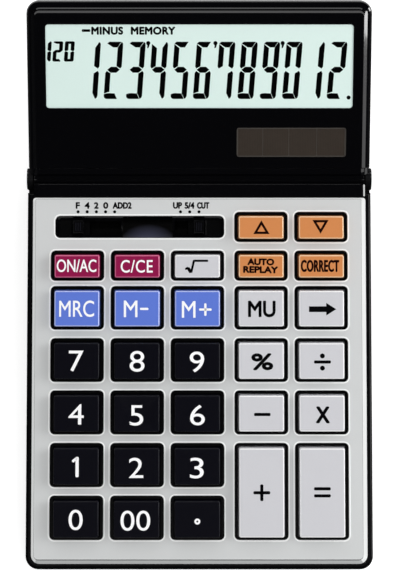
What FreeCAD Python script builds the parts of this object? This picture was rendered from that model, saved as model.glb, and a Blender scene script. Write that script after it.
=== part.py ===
import FreeCAD, Part

import os
import re
from types import SimpleNamespace

import Sketcher
from FreeCAD import Placement, Rotation, Vector

# Desktop calculator with a tilting display head, in millimetres.
#
# The body's pieces are drawn in the deck frame: X to the right, Y from the body's front edge to
# the back, Z up from the top of the face plate, which lies at Z 0. The head's pieces are drawn in
# the head frame: Y from the hinge axis to the head's far edge, Z out of its front. The two frames
# are then stood up on the desk, the deck by its slope and the head by its tilt over the deck.

SIZES = [
    # The whole
    ("deck_slope", 6, "slope of the key deck over the desk, degrees"),
    ("head_tilt", 17, "head raised over the deck, degrees"),
    # Body
    ("body_width", 124.6, "body, side to side"),
    ("body_reach", 141.3, "body's front edge to the hinge axis"),
    ("front_height", 13.0, "body's height at its front edge"),
    ("body_corner", 4.7, "front corners, seen from above"),
    ("seam_depth", 6.5, "seam of the case below the plate's top"),
    ("case_wall", 2.0, "walls of the case"),
    ("case_rounding", 2.0, "lower case's bottom edges"),
    ("frame_deck", 1.8, "keyboard frame's deck"),
    ("frame_rounding", 1.2, "keyboard frame's upper edges"),
    # Hinge
    ("hinge_depth", 4.75, "hinge axis below the plate's top"),
    ("barrel_radius", 3.95, "head's hinge barrel"),
    ("cradle_gap", 0.3, "barrel to the cradle that it turns in"),
    ("ear_radius", 4.0, "hinge ears at the body's sides"),
    ("ear_thickness", 1.8, "hinge ears"),
    ("ear_notch", 1.4, "frame's rear corner to the ear"),
    ("barrel_end_gap", 0.6, "barrel's end to the ear"),
    ("neck_relief", 2.6, "fall of the rear wall's edge below the head's neck"),
    ("pin_radius", 1.5, "hinge pins"),
    ("pin_running_gap", 0.05, "pin to the barrel's bore"),
    ("pin_press_gap", 0.01, "pin to the ear's bore"),
    ("pin_reach", 9.0, "pin's length inside the barrel"),
    ("washer_thickness", 0.4, "friction washers"),
    ("washer_radius", 3.8, "friction washers, outside"),
    ("cap_radius", 3.9, "hinge end caps"),
    ("cap_thickness", 0.4, "hinge end caps"),
    # Face plate
    ("plate_width", 120.5, "face plate, side to side"),
    ("plate_length", 132.1, "face plate, front to back"),
    ("plate_margin", 2.0, "body's front edge to the plate"),
    ("plate_thickness", 1.0, "face plate"),
    ("plate_corner", 3.1, "face plate's corners"),
    ("plate_bevel", 1.2, "face plate's bevelled edge, across"),
    ("plate_bevel_drop", 0.6, "face plate's bevelled edge, down"),
    # Key layout
    ("first_column_x", -44.06, "centre of the left column"),
    ("column_pitch", 21.7, "column to column"),
    ("group_gap", 1.3, "extra between the third and fourth columns"),
    ("first_row_y", 18.4, "centre of the front row"),
    ("row_pitch", 18.86, "row to row"),
    ("small_row_step", 15.3, "last full row to the first row of small keys"),
    ("top_row_step", 14.1, "between the two rows of small keys"),
    ("opening_width", 19.3, "plate's key openings, across"),
    ("opening_length", 15.8, "plate's key openings, along"),
    ("small_opening_length", 11.0, "plate's openings for small keys, along"),
    ("opening_corner", 1.65, "plate's key openings, corners"),
    # Keys
    ("key_width", 16.1, "key's top face, across"),
    ("key_length", 12.8, "key's top face, along"),
    ("small_key_length", 8.1, "small key's top face, along"),
    ("key_rise", 2.8, "key's top face over the plate"),
    ("key_draft", 0.2, "key's foot beyond its top face, each side"),
    ("key_corner", 0.8, "key's cut corners"),
    ("key_bevel", 0.45, "key's upper edges"),
    ("key_gap", 0.25, "key to its well in the frame"),
    ("key_wall", 1.2, "key's walls"),
    ("key_crown", 1.6, "key's top wall"),
    ("key_travel", 2.0, "key's travel"),
    ("seat_gap", 0.3, "flange or slider to the frame above it"),
    ("flange_thickness", 1.0, "key's flange"),
    ("flange_reach", 1.0, "key's flange beyond its foot"),
    ("plunger_width", 4.2, "key's plunger"),
    ("plunger_drop", 1.3, "key's plunger below its flange"),
    ("press_gap", 0.2, "plunger to its dome"),
    # Dome sheet and board
    ("dome_height", 3.2, "rubber domes"),
    ("dome_width", 6.6, "rubber domes at their foot"),
    ("dome_corner", 1.9, "rubber domes' cut corners at their foot"),
    ("dome_slope", 1.1, "rubber domes' sides, inwards"),
    ("sheet_thickness", 0.8, "rubber sheet"),
    ("board_thickness", 1.2, "circuit boards"),
    ("board_width", 107.2, "keyboard board, side to side"),
    ("board_length", 121.0, "keyboard board, front to back"),
    ("board_front", 8.2, "body's front edge to the board"),
    # Switch bay
    ("bay_x", -21.58, "centre of the switch bay"),
    ("bay_width", 61.2, "switch bay, across"),
    ("bay_length", 8.1, "switch bay, along"),
    ("bay_corner", 1.8, "switch bay's corners"),
    ("bay_depth", 1.4, "switch bay below the frame's top"),
    ("bay_floor", 1.6, "switch bay's floor"),
    ("bay_wall", 1.5, "switch bay's wall below the deck"),
    ("detent_pitch", 3.3, "switch positions"),
    ("decimal_switch_x", -37.3, "middle of the five-position switch"),
    ("rounding_switch_x", -3.45, "middle of the three-position switch"),
    ("knob_width", 4.0, "switch knob, across"),
    ("knob_length", 4.7, "switch knob, along"),
    ("knob_rise", 0.6, "switch knob over the plate"),
    ("knob_gap", 0.2, "knob to its slot"),
    ("knob_bevel", 0.5, "switch knob's upper edges"),
    ("slider_width", 8.0, "slider below the slot, across"),
    ("slider_length", 7.4, "slider below the slot, along"),
    ("slider_thickness", 1.0, "slider below the slot"),
    ("wiper_gap", 0.15, "wiper to the board"),
    ("wiper_thickness", 0.4, "switch wipers"),
    # Screws
    ("post_x", 56.9, "case screws from the middle"),
    ("front_post_y", 7.2, "front pair of case screws"),
    ("rear_post_y", 127.0, "rear pair of case screws"),
    ("post_radius", 2.9, "lower case's screw posts"),
    ("boss_radius", 2.4, "frame's screw bosses"),
    ("post_depth", 9.0, "where post and boss meet, below the plate's top"),
    ("post_web", 2.3, "post's end over the screw head"),
    ("head_radius", 2.3, "screw heads"),
    ("head_height", 1.6, "screw heads"),
    ("head_clearance", 0.3, "screw head to its well"),
    ("shank_radius", 1.1, "screw shanks"),
    ("shank_clearance", 0.2, "shank to the hole that it passes"),
    ("case_screw_grip", 4.0, "case screw inside the boss"),
    # Feet and battery
    ("foot_radius", 5.0, "rubber feet"),
    ("foot_height", 1.2, "rubber feet"),
    ("foot_x", 48.0, "feet from the middle"),
    ("front_foot_y", 13.0, "front feet along the underside"),
    ("rear_foot_y", 132.0, "rear feet along the underside"),
    ("well_wall", 1.2, "battery well's walls"),
    ("battery_x", -24.0, "battery well's centre"),
    ("battery_y", 100.0, "battery well's centre along the underside"),
    ("well_width", 25.0, "battery well, across"),
    ("well_length", 15.0, "battery well, along"),
    ("well_depth", 8.4, "battery well above the underside"),
    ("cover_ledge", 1.5, "battery cover beyond the well"),
    ("cover_thickness", 1.5, "battery cover"),
    ("cover_gap", 0.15, "battery cover to its seat"),
    ("grip_width", 12.0, "battery cover's grip grooves, across"),
    ("grip_groove", 0.8, "battery cover's grip grooves, along"),
    ("grip_pitch", 2.0, "battery cover's grip grooves, one to the next"),
    ("cell_radius", 5.8, "button cell"),
    ("cell_height", 5.4, "button cell"),
    ("contact_thickness", 0.3, "battery contacts"),
    ("contact_width", 4.0, "battery contacts"),
    # Head
    ("head_width", 123.4, "head, side to side"),
    ("head_length", 64.8, "hinge axis to the head's far edge"),
    ("head_start", 4.6, "hinge axis to the full-width part of the head"),
    ("head_corner", 4.5, "head's far corners"),
    ("head_front", 3.95, "bezel's front over the hinge axis"),
    ("head_seam", 1.0, "seam of the head behind the hinge axis"),
    ("head_back", 7.6, "head's back behind the hinge axis"),
    ("neck_front", 3.2, "neck's front over the hinge axis"),
    ("neck_back", 6.3, "neck's back behind the hinge axis, at the cover"),
    ("head_wall", 1.8, "walls of the head"),
    ("bezel_wall", 2.0, "bezel's front wall"),
    ("bezel_rounding", 1.9, "bezel's front edges"),
    ("cover_bevel", 1.6, "rear cover's back edges"),
    ("neck_slope", 2.8, "rear cover's slope at the neck"),
    ("lens_width", 118.8, "display lens, across"),
    ("lens_length", 55.9, "display lens, along"),
    ("lens_start", 5.9, "hinge axis to the display lens"),
    ("lens_thickness", 1.2, "display lens"),
    ("lens_seat", 0.7, "display lens, sunk in the bezel"),
    ("lens_bevel", 0.5, "display lens's front edges"),
    ("lens_gap", 0.1, "display lens to the bezel"),
    ("glass_width", 114.0, "display glass, across"),
    ("glass_length", 36.0, "display glass, along"),
    ("glass_start", 22.5, "hinge axis to the display glass"),
    ("glass_thickness", 2.0, "display glass"),
    ("glass_gap", 0.3, "display glass to the bezel"),
    ("cell_window_x", 33.35, "centre of the solar cell"),
    ("cell_window_y", 14.47, "centre of the solar cell"),
    ("solar_width", 41.5, "solar cell, across"),
    ("solar_length", 12.5, "solar cell, along"),
    ("solar_thickness", 1.1, "solar cell"),
    ("display_board_width", 112.0, "display board, across"),
    ("zebra_width", 108.0, "conductive rubber strip, across"),
    ("zebra_length", 2.2, "conductive rubber strip, along"),
    ("zebra_height", 2.0, "conductive rubber strip"),
    ("chip_width", 12.0, "driver chip"),
    ("chip_height", 1.4, "driver chip"),
    ("chip_draft", 0.5, "driver chip's sides, inwards"),
    ("head_post_x", 57.4, "head screws from the middle"),
    ("head_post_inset", 3.7, "head screws from the head's ends"),
    ("head_post_radius", 2.2, "head's screw posts"),
    ("head_screw_radius", 1.8, "head screw heads"),
    ("head_shank_radius", 0.9, "head screw shanks"),
    ("head_screw_grip", 2.2, "head screw inside the boss"),
    # Ribbon cable
    ("cable_width", 24.0, "ribbon cable"),
    ("cable_thickness", 0.3, "ribbon cable"),
    ("cable_gap", 1.0, "ribbon cable to the slots that it passes"),
    ("cable_slot_drop", 2.6, "cable slot below the seam"),
    ("cable_slot_rise", 1.2, "cable slot above the seam"),
    ("cable_window", 5.2, "window in the barrel"),
    ("cable_landing", 6.0, "ribbon cable on the keyboard board"),
    ("cable_end", 9.0, "ribbon cable's end beyond the hinge axis"),
]

doc = FreeCAD.newDocument("Calculator")
sheet = doc.addObject("Spreadsheet::Sheet", "Sizes")
for row, (alias, number, note) in enumerate(SIZES, start=1):
    sheet.set(f"A{row}", note)
    sheet.set(f"B{row}", str(number))
    sheet.setAlias(f"B{row}", alias)
doc.recompute()
s = SimpleNamespace(**{alias: sheet.get(alias) for alias, number, note in SIZES})

# Levels below the plate's top, each the sum of the sizes above it
STACK = {
    "frame_top": ["plate_thickness"],
    "frame_under": ["plate_thickness", "frame_deck"],
    "bay_top": ["plate_thickness", "bay_depth"],
    "bay_under": ["plate_thickness", "bay_depth", "bay_floor"],
    "slider_top": ["plate_thickness", "bay_depth", "bay_floor", "seat_gap"],
    "flange_top": ["plate_thickness", "frame_deck", "seat_gap"],
}
STACK["flange_under"] = STACK["flange_top"] + ["flange_thickness"]
STACK["plunger_end"] = STACK["flange_under"] + ["plunger_drop"]
STACK["dome_top"] = STACK["plunger_end"] + ["press_gap"]
STACK["sheet_top"] = STACK["dome_top"] + ["dome_height"]
STACK["board_top"] = STACK["sheet_top"] + ["sheet_thickness"]
STACK["board_under"] = STACK["board_top"] + ["board_thickness"]

REAR = "(body_reach + ear_radius)"
CRADLE = "(barrel_radius + cradle_gap)"
EAR_INSIDE = "(body_width / 2 - ear_thickness)"
BAY_Y = "(first_row_y + 4 * row_pitch + small_row_step + top_row_step)"
FOURTH_COLUMN = "(first_column_x + 3 * column_pitch + group_gap)"
SMALL_ROW = "(first_row_y + 4 * row_pitch + small_row_step)"
BOARD_BACK = "(glass_thickness + zebra_height + board_thickness + lens_seat - head_front)"
FAR = "(2 * body_width)"
MANY_SIDES = 32  # of a disc in which nothing turns


def depth(level):
    """Formula of a level's depth below the plate's top."""
    return "(" + " + ".join(STACK[level]) + ")"


def height(level):
    """The level's Z in the deck frame, as a number."""
    return -sum(getattr(s, name) for name in STACK[level])


def bind(target, path, formula):
    """Ties a property to a formula of the sheet's aliases, which are the words with an underscore."""
    target.setExpression(path, re.sub(r"[a-z]+(_[a-z]+)+", r"Sizes.\g<0>", formula))


# Sketches


def new_sketch(body, name, plane="XY_Plane", lift=None, tilt=None):
    """A sketch on one of its body's own planes, lifted along the plane's normal."""
    sketch = body.newObject("Sketcher::SketchObject", name)
    support = next(f for f in body.Origin.OriginFeatures if f.Role == plane)
    sketch.AttachmentSupport = [(support, "")]
    sketch.MapMode = "FlatFace"
    if tilt:
        sketch.AttachmentOffset = Placement(Vector(), Rotation(Vector(-1, 0, 0), 1))
        bind(sketch, "AttachmentOffset.Rotation.Angle", tilt)
    if lift:
        bind(sketch, "AttachmentOffset.Base.z", lift)
    return sketch


def pin_points(sketch, points):
    """Holds points of the sketch, each given as its geometry, its end and two formulas."""
    constraints, formulas = [], []
    for geometry, end, across, along in points:
        spot = sketch.getPoint(geometry, end)
        constraints.append(Sketcher.Constraint("DistanceX", -1, 1, geometry, end, spot.x))
        constraints.append(Sketcher.Constraint("DistanceY", -1, 1, geometry, end, spot.y))
        formulas += [across, along]
    for index, formula in zip(sketch.addConstraint(constraints), formulas):
        bind(sketch, f"Constraints[{index}]", formula)


def polygon(sketch, corners):
    """A closed outline of straight lines, each corner given as two formulas."""
    count = len(corners)
    spots = [Rotation(Vector(0, 0, 1), 360 * i / count).multVec(Vector(10, 0, 0)) for i in range(count)]
    lines = sketch.addGeometry([Part.LineSegment(spots[i - 1], spots[i]) for i in range(count)])
    joints = [Sketcher.Constraint("Coincident", lines[i - 1], 2, lines[i], 1) for i in range(count)]
    sketch.addConstraint(joints)
    pin_points(sketch, [(line, 1, *corner) for line, corner in zip(lines, corners)])


def rectangle(sketch, x, y, width, length):
    """A rectangle about its centre."""
    left, right = f"({x}) - ({width}) / 2", f"({x}) + ({width}) / 2"
    front, back = f"({y}) - ({length}) / 2", f"({y}) + ({length}) / 2"
    polygon(sketch, [(left, front), (right, front), (right, back), (left, back)])


def cut_rectangle(sketch, x, y, width, length, corner):
    """A rectangle about its centre with its corners cut off at 45 degrees."""
    left, right = f"({x}) - ({width}) / 2", f"({x}) + ({width}) / 2"
    front, back = f"({y}) - ({length}) / 2", f"({y}) + ({length}) / 2"
    points = [
        (f"{left} + {corner}", front),
        (f"{right} - {corner}", front),
        (right, f"{front} + {corner}"),
        (right, f"{back} - {corner}"),
        (f"{right} - {corner}", back),
        (f"{left} + {corner}", back),
        (left, f"{back} - {corner}"),
        (left, f"{front} + {corner}"),
    ]
    polygon(sketch, points)


def soft_rectangle(sketch, x, y, width, length, corner):
    """A rectangle about its centre with each corner turned by two short sides."""
    points = []
    for side, end in (("-", "-"), ("", "-"), ("", ""), ("-", "")):
        edge, brink = f"({x}) + {side}({width}) / 2", f"({y}) + {end}({length}) / 2"
        inward, onward = f"({side}{corner})", f"({end}{corner})"
        turns = [(f"{edge} - {inward}", brink),
                 (f"{edge} - {inward} * (1 - cos(45 deg))", f"{brink} - {onward} * (1 - cos(45 deg))"),
                 (edge, f"{brink} - {onward}")]
        points += turns if side != end else reversed(turns)
    polygon(sketch, points)


def rounded_rectangle(sketch, x, y, width, length, corner):
    """A rectangle about its centre with tangent corner arcs."""
    middles = [Vector(10, 5, 0), Vector(-10, 5, 0), Vector(-10, -5, 0), Vector(10, -5, 0)]
    quarter = 1.5707963267948966
    arcs = []
    for i, middle in enumerate(middles):
        circle = Part.Circle(middle, Vector(0, 0, 1), 2)
        arcs.append(Part.ArcOfCircle(circle, quarter * i, quarter * (i + 1)))
    sides = [Part.LineSegment(arcs[i - 1].EndPoint, arcs[i].StartPoint) for i in range(4)]
    turns = sketch.addGeometry(arcs)
    lines = sketch.addGeometry(sides)
    constraints = []
    for i in range(4):
        constraints.append(Sketcher.Constraint("Tangent", turns[i - 1], 2, lines[i], 1))
        constraints.append(Sketcher.Constraint("Tangent", lines[i], 2, turns[i], 1))
        constraints.append(Sketcher.Constraint("Horizontal" if i % 2 else "Vertical", lines[i]))
    constraints += [Sketcher.Constraint("Equal", turns[0], turn) for turn in turns[1:]]
    sketch.addConstraint(constraints)
    index = sketch.addConstraint(Sketcher.Constraint("Radius", turns[0], 2.0))
    bind(sketch, f"Constraints[{index}]", corner)
    across, along = f"(({width}) / 2 - {corner})", f"(({length}) / 2 - {corner})"
    pin_points(sketch, [(turns[0], 3, f"({x}) + {across}", f"({y}) + {along}"),
                        (turns[2], 3, f"({x}) - {across}", f"({y}) - {along}")])


def circles(sketch, centres, radius):
    """Equal circles, each centre given as two formulas."""
    for across, along in centres:
        index = sketch.addGeometry(Part.Circle(Vector(10, 5, 0), Vector(0, 0, 1), 1))
        pin_points(sketch, [(index, 3, across, along)])
        constraint = sketch.addConstraint(Sketcher.Constraint("Radius", index, 1.0))
        bind(sketch, f"Constraints[{constraint}]", radius)


def small_rounds(sketch, centres, radius, sides=12):
    """Regular polygons for posts and screw holes, each centre given as two formulas."""
    for across, along in centres:
        turns = [f"{360 * i // sides} deg" for i in range(sides)]
        polygon(sketch, [(f"{across} + ({radius}) * cos({turn})", f"{along} + ({radius}) * sin({turn})")
                         for turn in turns])


# Features


def extrude(kind, sketch, length, reverse=False, symmetric=False):
    """A pad or pocket of a sketch; a pocket with no length goes through everything."""
    body = sketch.getParentGeoFeatureGroup()
    feature = body.newObject(f"PartDesign::{kind}", f"{sketch.Name}_{kind.lower()}")
    feature.Profile = sketch
    feature.Reversed = reverse
    if symmetric:
        feature.Midplane = True
    if length:
        bind(feature, "Length", length)
    else:
        feature.Type = "ThroughAll"
    return feature


def pad(sketch, length, **options):
    return extrude("Pad", sketch, length, **options)


def pocket(sketch, length=None, **options):
    return extrude("Pocket", sketch, length, **options)


def pattern(feature, across, along, step_across, step_along):
    """Repeats a feature on a grid."""
    body = feature.getParentGeoFeatureGroup()
    grid = body.newObject("PartDesign::LinearPattern", feature.Name + "_grid")
    grid.Originals = [feature]
    sketch = feature.Profile[0]
    grid.Direction = (sketch, ["H_Axis"])
    grid.Mode = "Spacing"
    grid.Occurrences = across
    bind(grid, "Offset", step_across)
    if along > 1:
        grid.Direction2 = (sketch, ["V_Axis"])
        grid.Mode2 = "Spacing"
        grid.Occurrences2 = along
        grid.Spacings2 = [-1.0] * (along - 1)
        bind(grid, "Offset2", step_along)
    body.Tip = grid


def edges_of(feature, test):
    """Names of the feature's edges that pass a test of their bounding box."""
    doc.recompute()
    edges = enumerate(feature.Shape.Edges, start=1)
    return [f"Edge{number}" for number, edge in edges if test(edge.BoundBox)]


def near(one, other):
    return abs(one - other) < 1e-4


def taper_sides(feature, name, inset, rise, plane, reverse=False):
    """Tapers the upright faces that start or end at a flat face, by an inset over a rise."""
    body = feature.getParentGeoFeatureGroup()
    doc.recompute()
    faces = list(enumerate(feature.Shape.Faces, start=1))
    flat = [number for number, face in faces
            if near(face.BoundBox.ZMin, plane) and near(face.BoundBox.ZMax, plane)]
    sides = [f"Face{number}" for number, face in faces
             if face.BoundBox.ZLength > 1 and plane in (round(face.BoundBox.ZMin, 6), round(face.BoundBox.ZMax, 6))]
    draft = body.newObject("PartDesign::Draft", name)
    draft.Base = (feature, sides)
    draft.NeutralPlane = (feature, [f"Face{flat[0]}"])
    draft.Reversed = reverse
    bind(draft, "Angle", f"atan({inset} / ({rise}))")
    return draft


def round_edges(feature, name, radius, test):
    body = feature.getParentGeoFeatureGroup()
    edges = edges_of(feature, test)
    fillet = body.newObject("PartDesign::Fillet", name)
    fillet.Base = (feature, edges)
    bind(fillet, "Radius", radius)
    return fillet


def bevel_edges(feature, name, width, drop, test):
    """A chamfer, its width across the feature's top and its drop down the side."""
    body = feature.getParentGeoFeatureGroup()
    edges = edges_of(feature, test)
    chamfer = body.newObject("PartDesign::Chamfer", name)
    chamfer.Base = (feature, edges)
    chamfer.ChamferType = "Two distances"
    bind(chamfer, "Size", drop)
    bind(chamfer, "Size2", width)
    return chamfer


# The key layout: each block of equal cells is one seed and its pattern


def key_blocks(width, length, small_length):
    """Name, seed centre, cell size and pattern of the five blocks of keys."""
    tall = f"({length} + row_pitch)"
    return [
        ("numbers", "first_column_x", "first_row_y", width, length, 3, 5, "row_pitch"),
        ("signs", FOURTH_COLUMN, "(first_row_y + 2 * row_pitch)", width, length, 2, 3, "row_pitch"),
        ("sums", FOURTH_COLUMN, "(first_row_y + row_pitch / 2)", width, tall, 2, 1, "row_pitch"),
        ("clears", "first_column_x", SMALL_ROW, width, small_length, 3, 1, "top_row_step"),
        ("steps", FOURTH_COLUMN, SMALL_ROW, width, small_length, 2, 2, "top_row_step"),
    ]


def on_key_layout(body, prefix, lift, cell, outline, feature):
    """Draws one outline in each block, makes its feature and repeats that over the block."""
    for name, x, y, width, length, across, along, step in key_blocks(*cell):
        sketch = new_sketch(body, f"{prefix}_{name}", lift=lift)
        outline(sketch, x, y, width, length)
        pattern(feature(sketch), across, along, "column_pitch", step)


# Sub-parts


sub_parts = []
DESK = Placement(Vector(), Rotation(Vector(1, 0, 0), s.deck_slope))
HINGE = Placement(Vector(0, s.body_reach, -s.hinge_depth), Rotation(Vector(1, 0, 0), s.head_tilt))
HEAD = DESK.multiply(HINGE)
UNDERSIDE = Placement(Vector(0, 0, -s.front_height), Rotation(Vector(1, 0, 0), -s.deck_slope))


def sub_part(piece, label, frame, x=0, y=0, z=0):
    """Names a finished piece and stands it in its frame."""
    piece.Label = label
    piece.Placement = frame.multiply(Placement(Vector(x, y, z), Rotation()))
    sub_parts.append(piece)


def new_body(name):
    return doc.addObject("PartDesign::Body", name)


def box(name, width, length, thickness, x=0.0, y=0.0, z=0.0):
    """A block whose lowest face is centred on x and starts at y."""
    block = doc.addObject("Part::Box", name)
    bind(block, "Length", width)
    bind(block, "Width", length)
    bind(block, "Height", thickness)
    doc.recompute([block])
    block.Placement.Base = Vector(x - block.Length.Value / 2, y, z)
    return block


def cylinder(name, radius, length, at, axis=Vector(0, 0, 1)):
    """A rod that starts at a point and runs along an axis."""
    rod = doc.addObject("Part::Cylinder", name)
    bind(rod, "Radius", radius)
    bind(rod, "Height", length)
    rod.Placement = Placement(at, Rotation(Vector(0, 0, 1), axis))
    return rod


def fuse(name, pieces):
    union = doc.addObject("Part::MultiFuse", name)
    union.Shapes = pieces
    return union


def group(name, pieces):
    """Separate solids that share one node."""
    set_of = doc.addObject("Part::Compound", name)
    set_of.Links = pieces
    return set_of


def prism(name, radius, length, at, axis=Vector(0, 0, 1), sides=12):
    """A bar with flat sides that starts at a point and runs along an axis."""
    bar = doc.addObject("Part::Prism", name)
    bar.Polygon = sides
    bind(bar, "Circumradius", radius)
    bind(bar, "Height", length)
    bar.Placement = Placement(at, Rotation(Vector(0, 0, 1), axis))
    return bar


def face_plate():
    body = new_body("FacePlate")
    outline = new_sketch(body, "plate_outline", lift="-plate_thickness")
    middle = "(plate_margin + plate_length / 2)"
    rounded_rectangle(outline, "0", middle, "plate_width", "plate_length", "plate_corner")
    blank = pad(outline, "plate_thickness")
    bevel_edges(blank, "plate_bevel", "plate_bevel", "plate_bevel_drop",
                lambda edge: near(edge.ZMin, 0) and near(edge.ZMax, 0))
    on_key_layout(
        body, "opening", None, ("opening_width", "opening_length", "small_opening_length"),
        lambda sketch, *cell: soft_rectangle(sketch, *cell, "opening_corner"),
        lambda sketch: pocket(sketch, "plate_thickness"))
    bay = new_sketch(body, "plate_bay")
    rounded_rectangle(bay, "bay_x", BAY_Y, "bay_width", "bay_length", "bay_corner")
    pocket(bay, "plate_thickness")
    sub_part(body, "face_plate", DESK)


def keyboard_frame():
    body = new_body("KeyboardFrame")
    outline = new_sketch(body, "frame_outline", lift="-seam_depth")
    reach = f"({REAR} + 2 * body_corner)"
    rounded_rectangle(outline, "0", f"{reach} / 2", "body_width", reach, "body_corner")
    blank = pad(outline, "seam_depth - plate_thickness")
    # The rear end: hollowed round the barrel, and cut back beside the ears
    rear = new_sketch(body, "frame_rear", "YZ_Plane")
    polygon(rear, [("body_reach", "-2 * seam_depth"), (f"2 * {REAR}", "-2 * seam_depth"),
                   (f"2 * {REAR}", "seam_depth"), ("body_reach", "seam_depth")])
    pocket(rear, FAR, symmetric=True)
    cradle = new_sketch(body, "frame_cradle", "YZ_Plane")
    circles(cradle, [("body_reach", "-hinge_depth")], CRADLE)
    pocket(cradle, FAR, symmetric=True)
    notches = new_sketch(body, "frame_notches")
    for side in ("", "-"):
        x = f"{side}(body_width / 2)"
        rectangle(notches, x, "body_reach", "2 * (ear_thickness + barrel_end_gap / 2)",
                  "2 * (ear_radius + ear_notch)")
    notched = pocket(notches, symmetric=True)
    rounded = round_edges(notched, "frame_edge", "frame_rounding", lambda edge:
                          near(edge.ZMin, -s.plate_thickness) and near(edge.ZMax, -s.plate_thickness)
                          and edge.YMax < s.body_reach - s.ear_radius - s.ear_notch + 1e-3
                          and (edge.XLength < s.body_corner + 1e-3 or near(edge.YMax, 0)))
    # The room below the deck
    inside = new_sketch(body, "frame_inside", lift="-seam_depth")
    back = f"(body_reach - {CRADLE} - case_wall)"
    rectangle(inside, "0", f"(case_wall + {back}) / 2", "body_width - 2 * case_wall",
              f"{back} - case_wall")
    pocket(inside, f"seam_depth - {depth('frame_under')}", reverse=True)
    on_key_layout(
        body, "well", None,
        ("(key_width + 2 * key_draft + 2 * key_gap)", "(key_length + 2 * key_draft + 2 * key_gap)",
         "(small_key_length + 2 * key_draft + 2 * key_gap)"),
        rectangle, lambda sketch: pocket(sketch, depth("frame_under") + " + plate_thickness"))
    # The switch bay: a tray hung below the deck, with a slot for each knob
    tray = new_sketch(body, "bay_tray", lift="-" + depth("bay_under"))
    rectangle(tray, "bay_x", BAY_Y, "bay_width + 2 * bay_wall", "bay_length + 2 * bay_wall")
    pad(tray, depth("bay_under") + " - " + depth("frame_under"))
    bay = new_sketch(body, "frame_bay", lift="-plate_thickness")
    rounded_rectangle(bay, "bay_x", BAY_Y, "bay_width", "bay_length", "bay_corner")
    pocket(bay, "bay_depth")
    slots = new_sketch(body, "bay_slots")
    for centre, steps in (("decimal_switch_x", 4), ("rounding_switch_x", 2)):
        rectangle(slots, centre, BAY_Y, f"{steps} * detent_pitch + knob_width + 2 * knob_gap",
                  "knob_length + 2 * knob_gap")
    pocket(slots, depth("bay_under") + " + seat_gap")
    # Bosses for the case screws
    bosses = new_sketch(body, "case_bosses", lift="-post_depth")
    small_rounds(bosses, post_centres(), "boss_radius")
    pad(bosses, "post_depth - " + depth("frame_under"))
    drilled = new_sketch(body, "case_boss_holes", lift="-post_depth")
    small_rounds(drilled, post_centres(), "shank_radius")
    pocket(drilled, "case_screw_grip", reverse=True)
    cable = new_sketch(body, "frame_cable_slot", lift="-seam_depth")
    rectangle(cable, "0", f"body_reach - {CRADLE}", "cable_width + 2 * cable_gap",
              "2 * (case_wall + cradle_gap)")
    pocket(cable, "cable_slot_rise", reverse=True)
    sub_part(body, "keyboard_frame", DESK)


def post_centres():
    return [(f"{side}post_x", y) for side in ("-", "") for y in ("front_post_y", "rear_post_y")]


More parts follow.
